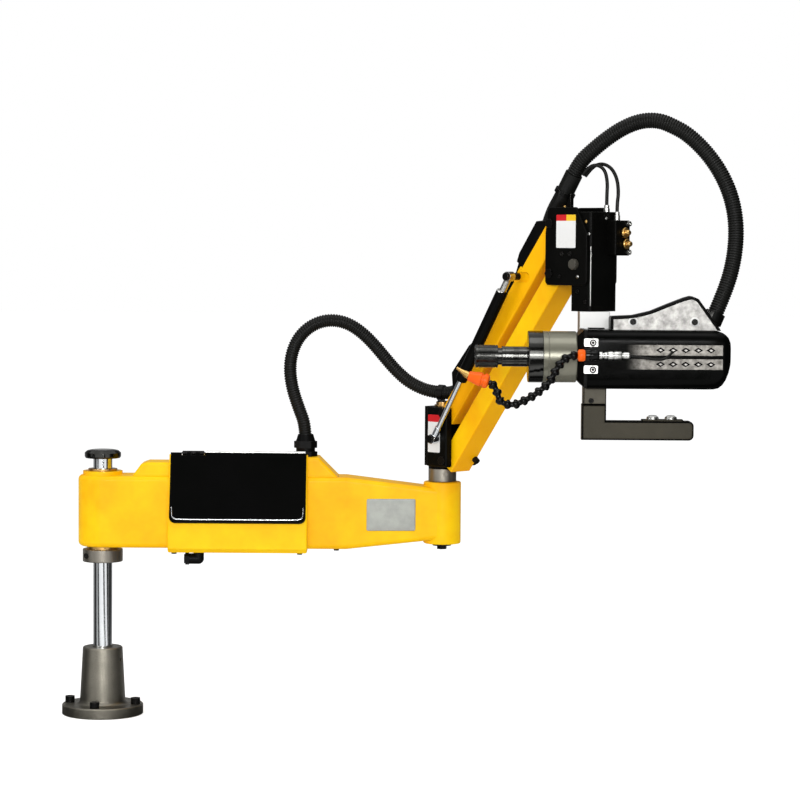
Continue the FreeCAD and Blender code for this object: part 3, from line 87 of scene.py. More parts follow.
def applyPlace(location=True, rotation=False, scale=False):
    bpy.ops.object.transform_apply(location=location, rotation=rotation, scale=scale)


def join(tree, source, target):
    tree.links.new(source, target)


def setSockets(node, values):
    for label, value in values.items():
        node.inputs[label].default_value = value


def mathNode(tree, kind, a, b, clamp=False):
    node = tree.nodes.new("ShaderNodeMath")
    node.operation = kind
    node.use_clamp = clamp
    for socket, value in zip(node.inputs, (a, b)):
        if isinstance(value, (int, float)):
            socket.default_value = value
        else:
            join(tree, value, socket)
    return node.outputs[0]


def rangeNode(tree, value, fromLow, fromHigh, toLow=0.0, toHigh=1.0):
    # carries a value over from one range to another
    node = tree.nodes.new("ShaderNodeMapRange")
    setSockets(node, {"From Min": fromLow, "From Max": fromHigh, "To Min": toLow, "To Max": toHigh})
    join(tree, value, node.inputs["Value"])
    return node


def objectPlace(tree):
    return tree.nodes.new("ShaderNodeTexCoord").outputs["Object"]


def splitPlace(tree):
    split = tree.nodes.new("ShaderNodeSeparateXYZ")
    join(tree, objectPlace(tree), split.inputs["Vector"])
    return split.outputs


def newMaterial(name):
    material = bpy.data.materials.new(name)
    material.use_nodes = True
    return material, material.node_tree, material.node_tree.nodes["Principled BSDF"]


putDown()

# camera, light and floor
cameraView = {"place": (0.5635, -5.130, 0.895), "pitchDown": 3.26, "roll": 0.0070, "lens": 121.9}
bpy.ops.object.camera_add(location=cameraView["place"])
camera = bpy.context.object
camera.name = "camera"
camera.rotation_mode = "ZYX"
camera.rotation_euler = (math.radians(90 - cameraView["pitchDown"]), 0, cameraView["roll"])
camera.data.lens = cameraView["lens"]
camera.data.sensor_width = 36
camera.data.clip_end = 100
bpy.context.scene.camera = camera
bpy.context.scene.view_settings.view_transform = "Standard"

studio = {"sky": 0.62, "floorSize": 60, "floorGrey": 0.8, "floorRough": 0.9, "floorLift": 0.55,
          "frontPower": 150, "frontSize": (2.6, 0.8), "frontPlace": (0.6, -6.6, 1.7),
          "frontAim": (0.5, 0, 0.7),
          "topPower": 42, "topSize": (3.0, 1.6), "topPlace": (0.45, -0.9, 3.6), "topAim": (0.5, 0, 0.6),
          "sidePower": 30, "sideSize": (0.7, 2.2), "sidePlace": (-3.3, -2.4, 1.5), "sideAim": (0.4, 0, 0.6),
          "wallRadius": 7.5, "wallLow": 0.0, "wallHeight": 4.0, "wallSides": 64, "coveIn": 0.7, "coveUp": 1.4,
          "middle": 0.45,
          "tones": [(-180, 0.34), (-120, 0.26), (-100, 0.03), (-80, 0.03), (-74, 0.5), (-68, 0.5),
                    (-64, 0.05), (-50, 0.05), (-46, 0.85), (-12, 1.0), (-2, 1.0), (0, 0.03), (16, 0.03),
                    (18, 1.0), (44, 0.8), (48, 0.03), (76, 0.03), (79, 0.3), (82, 0.3), (85, 0.02),
                    (136, 0.03), (150, 0.2), (180, 0.3)],
          "toneStrength": 1.35, "toneHigh": 0.5, "toneFade": (1.5, 2.0), "cardHeight": 0.0012,
          "cards": [((1.035, -6.9, 2.05), (0.47, 4.0)), ((1.8, -6.9, 1.8), (1.0, 0.6))], "cardStrength": 13}


def whiteWhereSeen(tree):
    # 1 for rays that the eye, metal and glass send out, 0 for the rest
    rays = tree.nodes.new("ShaderNodeLightPath").outputs
    seen = mathNode(tree, "ADD", rays["Is Camera Ray"], rays["Is Glossy Ray"])
    return mathNode(tree, "ADD", seen, rays["Is Transmission Ray"], True)


def makeSky():
    world = bpy.data.worlds.new("studio sky")
    bpy.context.scene.world = world
    world.use_nodes = True
    tree = world.node_tree
    background = tree.nodes["Background"]
    background.inputs["Color"].default_value = (1, 1, 1, 1)
    level = rangeNode(tree, whiteWhereSeen(tree), 0.0, 1.0, studio["sky"], 1.0)
    join(tree, level.outputs["Result"], background.inputs["Strength"])


def makeLamp(side):
    place = studio[side + "Place"]
    bpy.ops.object.light_add(type="AREA", location=place)
    lamp = bpy.context.object
    lamp.name = side + "Softbox"
    lamp.data.shape = "RECTANGLE"
    lamp.data.size, lamp.data.size_y = studio[side + "Size"]
    lamp.data.energy = studio[side + "Power"]
    lamp.rotation_euler = (Vector(studio[side + "Aim"]) - Vector(place)).to_track_quat("-Z", "Y").to_euler()


def makeFloor():
    bpy.ops.mesh.primitive_plane_add(size=studio["floorSize"])
    floor = bpy.context.object
    floor.name = "floor"
    material, tree, shader = newMaterial("pale floor")
    setSockets(shader, {"Base Color": (studio["floorGrey"],) * 3 + (1,), "Roughness": studio["floorRough"],
                        "Specular IOR Level": 0.0, "Emission Color": (1, 1, 1, 1)})
    lift = mathNode(tree, "MULTIPLY", whiteWhereSeen(tree), studio["floorLift"])
    join(tree, lift, shader.inputs["Emission Strength"])
    floor.data.materials.append(material)


def studioTones():
    # light and dark round the object, by direction: bright strips beside the eye, dark sides, grey behind
    material, tree, shader = newMaterial("studio tones")
    setSockets(shader, {"Base Color": (0, 0, 0, 1), "Specular IOR Level": 0.0})
    split = splitPlace(tree)
    across = mathNode(tree, "SUBTRACT", split["X"], studio["middle"])
    turn = mathNode(tree, "ARCTAN2", across, mathNode(tree, "MULTIPLY", split["Y"], -1))
    ramp = tree.nodes.new("ShaderNodeValToRGB")
    stops = ramp.color_ramp.elements
    for angle, _ in studio["tones"][1:-1]:
        stops.new((angle + 180) / 360)
    for stop, (angle, tone) in zip(stops, studio["tones"]):
        stop.position = (angle + 180) / 360
        stop.color = (tone, tone, tone, 1)
    join(tree, rangeNode(tree, turn, -math.pi, math.pi).outputs["Result"], ramp.inputs["Fac"])
    fade = rangeNode(tree, split["Z"], *studio["toneFade"], studio["toneStrength"], studio["toneHigh"])
    join(tree, ramp.outputs["Color"], shader.inputs["Emission Color"])
    join(tree, fade.outputs["Result"], shader.inputs["Emission Strength"])
    return material


def onlyInReflections(thing):
    thing.visible_camera = False
    thing.visible_diffuse = False
    thing.visible_shadow = False
    thing.visible_transmission = False


def makeReflectors():
    # a round wall with a cove, and a floor card, that show only in reflections
    tones = studioTones()
    bpy.ops.mesh.primitive_cylinder_add(vertices=studio["wallSides"], radius=studio["wallRadius"],
                                        depth=studio["wallHeight"], end_fill_type="NOTHING",
                                        location=(0, 0, studio["wallLow"] + studio["wallHeight"] / 2))
    wall = bpy.context.object
    wall.name = "studioWall"
    applyPlace()
    editVertices(wall, lambda place: place.z > 1)
    extrudeOn((0, 0, studio["coveUp"]), (studio["coveIn"], studio["coveIn"], 1))
    endEdit()
    wall.data.materials.append(tones)
    onlyInReflections(wall)
    bpy.ops.mesh.primitive_circle_add(vertices=studio["wallSides"], radius=studio["wallRadius"],
                                      fill_type="NGON", location=(0, 0, studio["cardHeight"]))
    card = bpy.context.object
    card.name = "floorCard"
    applyPlace()
    card.data.materials.append(tones)
    onlyInReflections(card)


def makeCards():
    # a tall and a wide bright card beside the eye, for the lines of light along polished round parts
    material, _, shader = newMaterial("bright card")
    setSockets(shader, {"Base Color": (0, 0, 0, 1), "Emission Color": (1, 1, 1, 1),
                        "Emission Strength": studio["cardStrength"]})
    for i, (place, size) in enumerate(studio["cards"]):
        bpy.ops.mesh.primitive_plane_add(size=1, location=place, rotation=(math.pi / 2, 0, 0))
        card = bpy.context.object
        card.name = "brightCard" + str(i)
        card.scale = (*size, 1)
        applyPlace(rotation=True, scale=True)
        card.data.materials.append(material)
        onlyInReflections(card)


makeSky()
makeCards()
for lampSide in ("front", "top", "side"):
    makeLamp(lampSide)
makeFloor()
makeReflectors()
putDown()
print("camera, light and floor stand")

# conduits, hoses and small tubes: the routes, in metres
lowerRoute = [(0.385, -0.002, 0.512), (0.385, -0.002, 0.552), (0.371, -0.002, 0.588), (0.359, -0.001, 0.624),
              (0.354, 0.0, 0.66), (0.358, 0.001, 0.692), (0.37, 0.002, 0.719), (0.389, 0.003, 0.739),
              (0.413, 0.004, 0.751), (0.439, 0.005, 0.7535), (0.465, 0.006, 0.747), (0.491, 0.007, 0.73),
              (0.515, 0.008, 0.706), (0.535, 0.008, 0.682), (0.555, 0.008, 0.659), (0.579, 0.008, 0.6375),
              (0.607, 0.006, 0.6235), (0.63, 0.0015, 0.6185), (0.642, -0.00375, 0.61775)]
linkRoute = [(0.642, -0.00375, 0.61775), (0.654, -0.009, 0.617), (0.667, -0.019, 0.6205),
             (0.6765, -0.0305, 0.627)]
sleeveRoute = [(0.8359, -0.1952, 0.938), (0.8412, -0.2012, 0.957), (0.853, -0.2166, 0.98),
               (0.8649, -0.2248, 1.0055), (0.87445, -0.2324, 1.02625)]
upperRoute = [(0.87445, -0.2324, 1.02625), (0.884, -0.24, 1.047), (0.904, -0.247, 1.0665),
              (0.931, -0.2555, 1.0895), (0.96, -0.265, 1.109), (0.991, -0.2755, 1.121),
              (1.0065, -0.28075, 1.121)]
headRoute = [(1.0065, -0.28075, 1.121), (1.022, -0.286, 1.121), (1.047, -0.294, 1.11), (1.07, -0.3, 1.097),
             (1.097, -0.308, 1.072), (1.121, -0.315, 1.041), (1.139, -0.323, 1.007), (1.15, -0.331, 0.972),
             (1.155, -0.338, 0.934), (1.153, -0.346, 0.893), (1.145, -0.354, 0.852), (1.131, -0.361, 0.812),
             (1.1125, -0.368, 0.77)]
airRoutes = [[(0.8895, -0.2458, 1.024), (0.898, -0.252, 1.038), (0.914, -0.259, 1.043),
              (0.928, -0.263, 1.033), (0.9325, -0.2645, 1.01), (0.9314, -0.2652, 0.988),
              (0.9314, -0.2652, 0.9703)],
             [(0.8945, -0.238, 1.022), (0.906, -0.246, 1.039), (0.923, -0.252, 1.0455), (0.94, -0.26, 1.037),
              (0.95, -0.266, 1.016), (0.952, -0.2694, 0.99), (0.9498, -0.2694, 0.974),
              (0.9498, -0.2694, 0.9583)]]
coolantRoute = [(0.9634, -0.43, 0.707), (0.989, -0.4285, 0.703), (1.014, -0.426, 0.7), (1.028, -0.424, 0.703),
                (1.037, -0.4205, 0.7135)]
hoseRoute = [(0.87126, -0.43, 0.707), (0.85946, -0.43, 0.707), (0.84546, -0.4295, 0.698),
             (0.83346, -0.429, 0.681), (0.82446, -0.428, 0.661), (0.81046, -0.427, 0.648),
             (0.79546, -0.425, 0.636), (0.77946, -0.423, 0.627), (0.76446, -0.42, 0.62),
             (0.74846, -0.418, 0.62), (0.73646, -0.4165, 0.627), (0.73346, -0.415, 0.639),
             (0.72846, -0.414, 0.652), (0.71846, -0.413, 0.659)]

headOrigin = Vector((0.90946, -0.368, 0.702))
half = math.sqrt(0.5)


def headPoint(x, y, z):
    # millimetres from where the motor's axis crosses the tilt axis
    return headOrigin + Vector((x, y, z)) / 1000


def armPoint(u, w, z):
    # millimetres along the upper arm's plane from the elbow, out of it towards the operator, and up
    return Vector((645 + half * (u - w), -half * (u + w), z)) / 1000


def armPlace(point):
    # the same three numbers for a point of the scene
    x, y = point.x * 1000 - 645, point.y * 1000
    return half * (x - y), -half * (x + y), point.z * 1000


alongArm = Vector((half, -half, 0))
towardsOperator = Vector((-half, -half, 0))
alongHead = Vector((1, 0, 0))
outOfHead = Vector((0, -1, 0))
upwards = Vector((0, 0, 1))
weldWithin = 0.00001  # metres


def routeCurve(name, route):
    shape = bpy.data.curves.new(name, "CURVE")
    shape.dimensions = "3D"
    shape.resolution_u = 16
    spline = shape.splines.new("NURBS")
    spline.points.add(len(route) - 1)
    for point, place in zip(spline.points, route):
        point.co = (*place, 1)
    spline.order_u = 3
    spline.use_endpoint_u = True
    curve = bpy.data.objects.new(name, shape)
    bpy.context.collection.objects.link(curve)
    return curve


def lineOf(curve):
    bpy.context.view_layer.update()
    mesh = bpy.data.meshes.new_from_object(curve)
    points = [v.co.copy() for v in mesh.vertices]
    bpy.data.meshes.remove(mesh)
    return points


def lengthOf(points):
    return sum((b - a).length for a, b in zip(points, points[1:]))


def pick(thing):
    putDown()
    thing.select_set(True)
    bpy.context.view_layer.objects.active = thing


def applyAll(thing):
    pick(thing)
    for modifier in list(thing.modifiers):
        bpy.ops.object.modifier_apply(modifier=modifier.name)


def smoothOver(thing, degrees):
    pick(thing)
    bpy.ops.object.shade_smooth_by_angle(angle=math.radians(degrees))


def settle(piece, body, node=None):
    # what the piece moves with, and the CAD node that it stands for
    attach(piece, body)
    if node is not None:
        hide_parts(node)
    return piece


def tubeOfRings(name, route, radius, rings, pitch, sides=20):
    # one ring is turned up by extruding a circle, then repeated and laid along the route
    curve = routeCurve(name + "Line", route)
    line = lineOf(curve)
    length = lengthOf(line)
    count = max(2, round(length / pitch))
    step = length / count
    bpy.ops.mesh.primitive_circle_add(vertices=sides, radius=radius * rings[0][1],
                                      rotation=(0, math.pi / 2, 0))
    tube = bpy.context.object
    tube.name = name
    applyPlace(location=False, rotation=True)
    editAll("EDGE")
    for before, after in zip(rings, rings[1:]):
        grow = after[1] / before[1]
        extrudeOn(((after[0] - before[0]) * step, 0, 0), (1, grow, grow))
    endEdit()
    repeat = tube.modifiers.new("repeat", "ARRAY")
    repeat.count = count
    repeat.use_relative_offset = False
    repeat.use_constant_offset = True
    repeat.constant_offset_displace = (step, 0, 0)
    repeat.use_merge_vertices = True
    repeat.merge_threshold = 10 * weldWithin
    bend = tube.modifiers.new("bend", "CURVE")
    bend.object = curve
    applyAll(tube)
    bpy.ops.object.mode_set(mode="EDIT")
    bpy.ops.mesh.select_mode(type="VERT")
    bpy.ops.mesh.select_all(action="DESELECT")
    bpy.ops.mesh.select_non_manifold()
    bpy.ops.mesh.fill_holes(sides=0)
    closeUp()
    bpy.data.objects.remove(curve)
    smoothOver(tube, 50)
    return tube, line, length


conduitLook = {"lowerRadius": 0.0124, "upperRadius": 0.0142, "pitch": 0.0046,
               "ribs": [(0.0, 0.88), (0.12, 0.97), (0.3, 1.0), (0.5, 1.0), (0.68, 0.97), (0.8, 0.88),
                        (1.0, 0.88)],
               "sleeveRadius": 0.0162, "sleevePitch": 0.006, "sleeveSides": 32,
               "sleeveRings": [(0.0, 1.0), (0.5, 0.996), (1.0, 1.0)],
               "airRadius": 0.0032, "coolantRadius": 0.0022}


def makeConduit(name, route, radius, node):
    tube, line, length = tubeOfRings(name, route, radius, conduitLook["ribs"], conduitLook["pitch"])
    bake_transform(tube)
    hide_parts(node)
    print(name, round(length, 3), "m long")
    return tube


def makeSleeve():
    look = conduitLook
    tube, _, _ = tubeOfRings("conduitSleeve", sleeveRoute, look["sleeveRadius"], look["sleeveRings"],
                             look["sleevePitch"], look["sleeveSides"])
    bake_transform(tube)
    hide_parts("conduit_sleeve")
    return tube


conduitSleeve = makeSleeve()
linkConduit = makeConduit("linkConduit", linkRoute, conduitLook["lowerRadius"], "conduit_link")
lowerConduit = makeConduit("lowerConduit", lowerRoute, conduitLook["lowerRadius"], "conduit_lower")
upperConduit = makeConduit("upperConduit", upperRoute, conduitLook["upperRadius"], "conduit_upper")
headConduit = makeConduit("headConduit", headRoute, conduitLook["upperRadius"], "conduit_head")


def roundTube(name, route, radius, sides=5):
    # a plain round tube along a route, its ends closed; the line that it follows comes back too
    tube = routeCurve(name, route)
    line = lineOf(tube)
    tube.data.bevel_depth = radius
    tube.data.bevel_resolution = sides
    tube.data.use_fill_caps = True
    pick(tube)
    bpy.ops.object.convert(target="MESH")
    tube = bpy.context.object
    editAll()
    bpy.ops.mesh.remove_doubles(threshold=weldWithin)
    closeUp()
    smoothOver(tube, 60)
    return tube, line


def smallTube(name, route, radius, body, node):
    tube, line = roundTube(name, route, radius)
    settle(tube, body, node)
    return tube


airTubeThin = smallTube("airTubeOne", airRoutes[0], conduitLook["airRadius"], "head_knuckle", "air_tubes")
airTubeThick = smallTube("airTubeTwo", airRoutes[1], conduitLook["airRadius"], "head_knuckle", "air_tubes")
coolantTube = smallTube("coolantTube", coolantRoute, conduitLook["coolantRadius"], "head", "coolant_tube")
print("conduits and tubes laid")

# jointed coolant hose
hoseLook = {"pitch": 0.0150, "ball": 0.0086, "sides": 18, "tipSides": 16,
            "link": [(0.0, 0.56), (0.08, 0.6), (0.18, 0.8), (0.34, 0.97), (0.48, 1.0), (0.6, 0.95),
                     (0.68, 0.78), (0.76, 0.58), (1.0, 0.56)],
            "nozzle": [(0.0, 0.0068), (0.002, 0.0118), (0.006, 0.0132), (0.009, 0.0132), (0.01, 0.0104),
                       (0.013, 0.0104), (0.0145, 0.0124), (0.02, 0.0122), (0.028, 0.01), (0.037, 0.0086)],
            "tip": [(0.0, 0.0062), (0.006, 0.0062), (0.013, 0.0040), (0.026, 0.0022)]}
nozzleFrom = Vector((0.71846, -0.413, 0.659))
nozzleTo = headOrigin + Vector((-0.226, -0.040, -0.033))
tipTo = headOrigin + Vector((-0.251, -0.032, -0.017))


def turnedAlong(name, start, end, rings, sides=28, hollow=False):
    # rings are (distance from start, radius); a circle is extruded ring by ring, closed, then aimed
    aim = (end - start).to_track_quat("Z", "Y").to_matrix().to_4x4()
    bpy.ops.mesh.primitive_circle_add(vertices=sides, radius=rings[0][1], location=(0, 0, rings[0][0]),
                                      fill_type="NOTHING" if hollow else "NGON")
    piece = bpy.context.object
    piece.name = name
    applyPlace()
    editAll("EDGE" if hollow else "FACE")
    for before, after in zip(rings, rings[1:]):
        grow = after[1] / before[1]
        extrudeOn((0, 0, after[0] - before[0]), (grow, grow, 1))
    if hollow:
        bpy.ops.mesh.select_all(action="SELECT")
        bpy.ops.mesh.remove_doubles(threshold=weldWithin)
    closeUp()
    piece.data.transform(Matrix.Translation(start) @ aim)
    smoothOver(piece, 40)
    return piece


def inMillimetres(rings):
    return [(distance / 1000, radius / 1000) for distance, radius in rings]


def turnedPiece(name, start, way, rings, body, node=None, sides=28, hollow=False):
    piece = turnedAlong(name, start, start + way, inMillimetres(rings), sides, hollow)
    return settle(piece, body, node)


def screwHead(name, place, way, radius, height, body, sides=24):
    # a socket-head screw: rounded rim and a recess
    rings = [(-0.5, radius), (height - 0.5, radius), (height, radius - 0.5), (height, radius * 0.58),
             (height - 1.6, radius * 0.52)]
    return turnedPiece(name, place, way, rings, body, sides=sides)


def loftedBox(name, sections, corner, steps=6):
    # a rounded rectangle is extruded along X through (x, half width, low, high), in head millimetres
    x, wide, low, high = sections[0]
    bpy.ops.mesh.primitive_plane_add(size=0.001, rotation=(0, math.pi / 2, 0),
                                     location=headPoint(x, 0, (low + high) / 2))
    piece = bpy.context.object
    piece.name = name
    applyPlace(rotation=True)
    editAll("FACE")
    bpy.ops.transform.resize(value=(1, 2 * wide, high - low))
    bpy.ops.mesh.bevel(offset=corner / 1000, segments=steps, affect="VERTICES")
    for before, after in zip(sections, sections[1:]):
        rise = (after[2] + after[3] - before[2] - before[3]) / 2
        extrudeOn(((after[0] - before[0]) / 1000, 0, rise / 1000),
                  (1, after[1] / before[1], (after[3] - after[2]) / (before[3] - before[2])))
    closeUp()
    return piece


def cutWith(thing, cutter):
    cut = thing.modifiers.new("cut", "BOOLEAN")
    cut.object = cutter
    cut.solver = "EXACT"
    applyAll(thing)
    bpy.data.objects.remove(cutter)


def joined(things):
    putDown()
    for thing in things:
        thing.select_set(True)
    bpy.context.view_layer.objects.active = things[0]
    bpy.ops.object.join()
    return things[0]


def makeHose():
    beads, line, length = tubeOfRings("hoseLinks", hoseRoute, hoseLook["ball"], hoseLook["link"],
                                      hoseLook["pitch"], hoseLook["sides"])
    nozzle = turnedAlong("hoseNozzle", nozzleFrom, nozzleTo, hoseLook["nozzle"])
    tip = turnedAlong("hoseTip", nozzleTo, tipTo, hoseLook["tip"], hoseLook["tipSides"])
    settle(beads, "head", "coolant_hose")
    settle(nozzle, "head")
    settle(tip, "head")
    print("hose", round(length, 3), "m long")
    return beads, nozzle, tip


hoseLinks, hoseNozzle, hoseTip = makeHose()
print("coolant hose hangs")

# motor shroud
shroudLook = {"corner": 20, "side": 50.6, "bandLeft": 42, "bandRight": 216, "bandHeight": 18.5,
              "bandDepth": 1.6, "bandSlope": 38, "bandClear": 0.2,
              "ventRows": (14.5, -10.0), "ventCount": 5, "ventFirst": 107, "ventPitch": 22, "ventHigh": 9.6,
              "ventWide": 16.5, "ventDepth": 8.4, "insertShare": 0.42, "insertDepth": 7.2, "insertBevel": 0.4,
              "sections": [(-20.5, 50.6, -54.5, 49), (190, 50.6, -54.5, 49), (202, 50.4, -54.2, 48.7),
                           (210, 49.9, -52.4, 47.4), (217, 48.8, -47, 45), (223, 46.8, -38, 41),
                           (227.5, 44, -27, 36.5), (230.3, 40, -15, 30), (231.2, 35, -7, 24)]}


def bandCutter(side, row):
    # a long slot in the wall, whose left end rises out of it
    look = shroudLook
    middle = (look["bandRight"] + look["bandLeft"]) / 2
    bpy.ops.mesh.primitive_cube_add(size=0.001, location=headPoint(middle, side * look["side"], row))
    cutter = bpy.context.object
    applyPlace()
    editAll()
    bpy.ops.transform.resize(value=(look["bandRight"] - look["bandLeft"], 2 * look["bandDepth"],
                                    look["bandHeight"]))
    bpy.ops.mesh.bisect(plane_co=headPoint(look["bandLeft"] + look["bandSlope"], 0, 0), plane_no=(1, 0, 0))
    end = headPoint(look["bandLeft"] + 1, 0, 0).x
    editVertices(cutter, lambda place: place.x < end
                 and side * (place.y - headOrigin.y) * 1000 < look["side"])
    bpy.ops.transform.translate(value=(0, side * (look["bandDepth"] + look["bandClear"]) / 1000, 0))
    endEdit()
    return cutter


def ventShape(name, x, side, row, share, depth):
    # a diamond prism across the wall
    look = shroudLook
    bpy.ops.mesh.primitive_cylinder_add(vertices=4, radius=0.001, depth=0.001, rotation=(math.pi / 2, 0, 0),
                                        location=headPoint(x, side * look["side"], row))
    shape = bpy.context.object
    shape.name = name
    applyPlace(rotation=True)
    editAll()
    bpy.ops.transform.resize(value=(look["ventWide"] / 2 * share, depth, look["ventHigh"] / 2 * share))
    endEdit()
    return shape


def makeShroud():
    look = shroudLook
    shroud = loftedBox("motorShroud", look["sections"], look["corner"])
    for side in (-1, 1):
        for row in look["ventRows"]:
            cutWith(shroud, bandCutter(side, row))
    places = [(look["ventFirst"] + i * look["ventPitch"], side, row) for side in (-1, 1)
              for row in look["ventRows"] for i in range(look["ventCount"])]
    for x, side, row in places:
        cutWith(shroud, ventShape("vent", x, side, row, 1.0, look["ventDepth"]))
    inserts = joined([ventShape("ventInsert" + str(i), *place, look["insertShare"], look["insertDepth"])
                      for i, place in enumerate(places)])
    inserts.name = "ventInserts"
    editAll()
    bpy.ops.mesh.bevel(offset=look["insertBevel"] / 1000, segments=1)
    endEdit()
    smoothOver(shroud, 30)
    settle(shroud, "head", "motor_shroud")
    settle(inserts, "head")
    return shroud, inserts


motorShroud, ventInserts = makeShroud()
print("shroud has", len(motorShroud.data.polygons), "faces")

# coolant valve and its fittings, along the head's axis
coolantLook = {"y": -62, "z": 5, "foot": (-13, -56.4, 5), "footSize": 0.016, "footShape": (1.1, 0.7, 1),
               "footBevel": 0.0012,
               "collar": (-38, [(0, 7.0), (0.8, 9.0), (2.5, 10.4), (9.5, 10.6), (11.2, 9.6), (12.6, 9.4),
                                (13, 8.6)]),
               "body": (-25, [(0, 7.2), (1.2, 8.8), (7.5, 9.0), (8.2, 8.0), (9.8, 8.0), (10.5, 9.2),
                              (21.5, 9.2), (23.5, 8.2), (24.5, 6.2)]),
               "nipple": (-0.6, [(0, 5.6), (0.4, 7.0), (5.2, 7.0), (5.8, 5.0), (8.6, 5.0), (9.2, 6.6),
                                 (13.6, 6.6), (14.2, 5.8)]),
               "pushIn": (13.6, [(0, 6.0), (1.4, 7.8), (9, 7.8), (9.8, 6.7), (11.6, 6.7), (12.4, 7.9),
                                 (23.5, 7.9), (25, 7.0), (26, 5.0), (27.5, 5.0), (28, 6.3), (37.2, 6.3),
                                 (39.4, 4.4)])}


def makeCoolantValve():
    look = coolantLook

    def part(name, kind):
        x, rings = look[kind]
        return turnedPiece(name, headPoint(x, look["y"], look["z"]), alongHead, rings, "head",
                           "coolant_valve")

    bpy.ops.mesh.primitive_cube_add(size=look["footSize"], location=headPoint(*look["foot"]))
    foot = bpy.context.object
    foot.name = "coolantFoot"
    applyPlace()
    editAll()
    bpy.ops.transform.resize(value=look["footShape"])
    bpy.ops.mesh.bevel(offset=look["footBevel"], segments=2)
    endEdit()
    settle(foot, "head", "coolant_valve")
    return (part("orangeCollar", "collar"), part("valveBody", "body"),
            foot, part("valveNipple", "nipple"), part("pushInFitting", "pushIn"))


orangeCollar, valveBody, coolantFoot, valveNipple, pushInFitting = makeCoolantValve()

# chuck and gearbox
chuckLook = {"sleeveFrom": -214.5, "shankFrom": -167.7, "gearboxFrom": -96, "radius": 20.2,
             "sleeve": [(0, 15.1), (0, 18.4), (0.8, 19.6), (2, 20.2), (5, 20.2), (5.4, 19.0), (6.8, 19.0),
                        (7.2, 20.2)],
             "knurls": 15, "knurlFrom": 7.2, "knurlStep": 1.75, "knurlDeep": 0.75, "knurlWide": 1.1,
             "sleeveEnd": [(34.8, 20.2), (35.2, 19.2), (36.4, 19.2), (36.8, 20.2), (39, 20.2), (40, 19.2),
                           (40, 15.1), (0, 15.1)],
             "shank": [(0, 15.0), (0.0, 16.8), (0.9, 17.7), (4.6, 17.7), (5.0, 16.9), (6.0, 16.9),
                       (6.4, 17.7), (20.5, 17.7), (21.3, 14.6), (29.0, 14.6), (29.8, 17.7), (40, 17.7),
                       (44.9, 17.7), (45.4, 17.0)],
             "gearbox": [(0, 44.2), (0.9, 45.2), (9.2, 45.2), (9.7, 44.3), (10.6, 44.3), (11.1, 45.2),
                         (57.6, 45.2), (59, 44.0)]}


def makeChuck():
    look = chuckLook
    wide, radius = look["knurlWide"], look["radius"]
    rings = list(look["sleeve"])
    for i in range(look["knurls"]):
        at = look["knurlFrom"] + (i + 0.5) * look["knurlStep"]
        rings += [(at, radius), (at + wide / 2, radius - look["knurlDeep"]), (at + wide, radius)]
    rings += look["sleeveEnd"]
    sleeve = turnedPiece("chuckSleeve", headPoint(look["sleeveFrom"], 0, 0), alongHead, rings, "chuck_sleeve",
                         "chuck_sleeve", 40, True)
    shank = turnedPiece("chuckShank", headPoint(look["shankFrom"], 0, 0), alongHead, look["shank"], "chuck",
                        None, 36)
    gearbox = turnedPiece("gearboxCase", headPoint(look["gearboxFrom"], 0, 0), alongHead, look["gearbox"],
                          "head", "gearbox", 72)
    return sleeve, shank, gearbox


chuckSleeve, chuckShank, gearboxCase = makeChuck()

# small fasteners, labels, rims and beads, among them a painted highlight on the housing's edge and a painted
# reflection along the cover's lower edge
padLook = {"x": -11, "out": -53.6, "heights": (27.0, -20.0), "radius": 6.0, "height": 4.7, "paintOver": 45}
padScrews = [screwHead("padScrew" + str(i), headPoint(padLook["x"], padLook["out"], z), outOfHead,
                       padLook["radius"], padLook["height"], "head")
             for i, z in enumerate(padLook["heights"])]
hoodLook = {"bolts": ((61, 63), (169, 63)), "boltRadius": 5.6, "boltHeight": 3.0, "web": -19.8,
            "ring": [(0, 8.6), (0.9, 8.6), (1.2, 8.2), (1.2, 3.0)],
            "mountBolt": (-11, -22, -76), "mountRadius": 4.6, "mountHeight": 1.6,
            "rimRadius": 2.7, "rimOut": -20.6,
            "rim": [(24.3, 49.5), (24.3, 66), (24.3, 69.3), (27, 69.5), (61.3, 71.3), (92.0, 78.8),
                    (121.9, 91.4), (150.0, 102.3), (159, 105), (167, 104.6), (174, 100.8), (177, 97),
                    (211.6, 49.5)],
            "paintOut": 21.9, "glandAt": (175.5, 103.5), "glandAim": (0.812, 0.583), "glandPast": 0.5}
hoodBolts = [screwHead("hoodBolt" + str(i), headPoint(x, hoodLook["web"], z), outOfHead,
                       hoodLook["boltRadius"], hoodLook["boltHeight"], "head")
             for i, (x, z) in enumerate(hoodLook["bolts"])]
hoodRings = [turnedPiece("hoodRing" + str(i), headPoint(x, hoodLook["web"], z), outOfHead, hoodLook["ring"],
                         "head") for i, (x, z) in enumerate(hoodLook["bolts"])]
mountBolt = screwHead("mountBolt", headPoint(*hoodLook["mountBolt"]), outOfHead, hoodLook["mountRadius"],
                      hoodLook["mountHeight"], "head")


def makeBead(name, points, radius, body):
    # a thin round bead that follows points
    bead, _ = roundTube(name, points, radius / 1000, 3)
    return settle(bead, body)


hoodRim = makeBead("hoodRim", [headPoint(x, hoodLook["rimOut"], z) for x, z in hoodLook["rim"]],
                   hoodLook["rimRadius"], "head")
labelLook = {"cover": ((321, 42.05, 893), (367, 42.05, 952.5)), "coverHeader": 941.5, "coverSplit": 345.0,
             "elbow": ((2.5, 42.05, 507), (33.5, 42.05, 578)), "elbowHeader": 564.5,
             "lift": 0.5, "corner": 2.2}


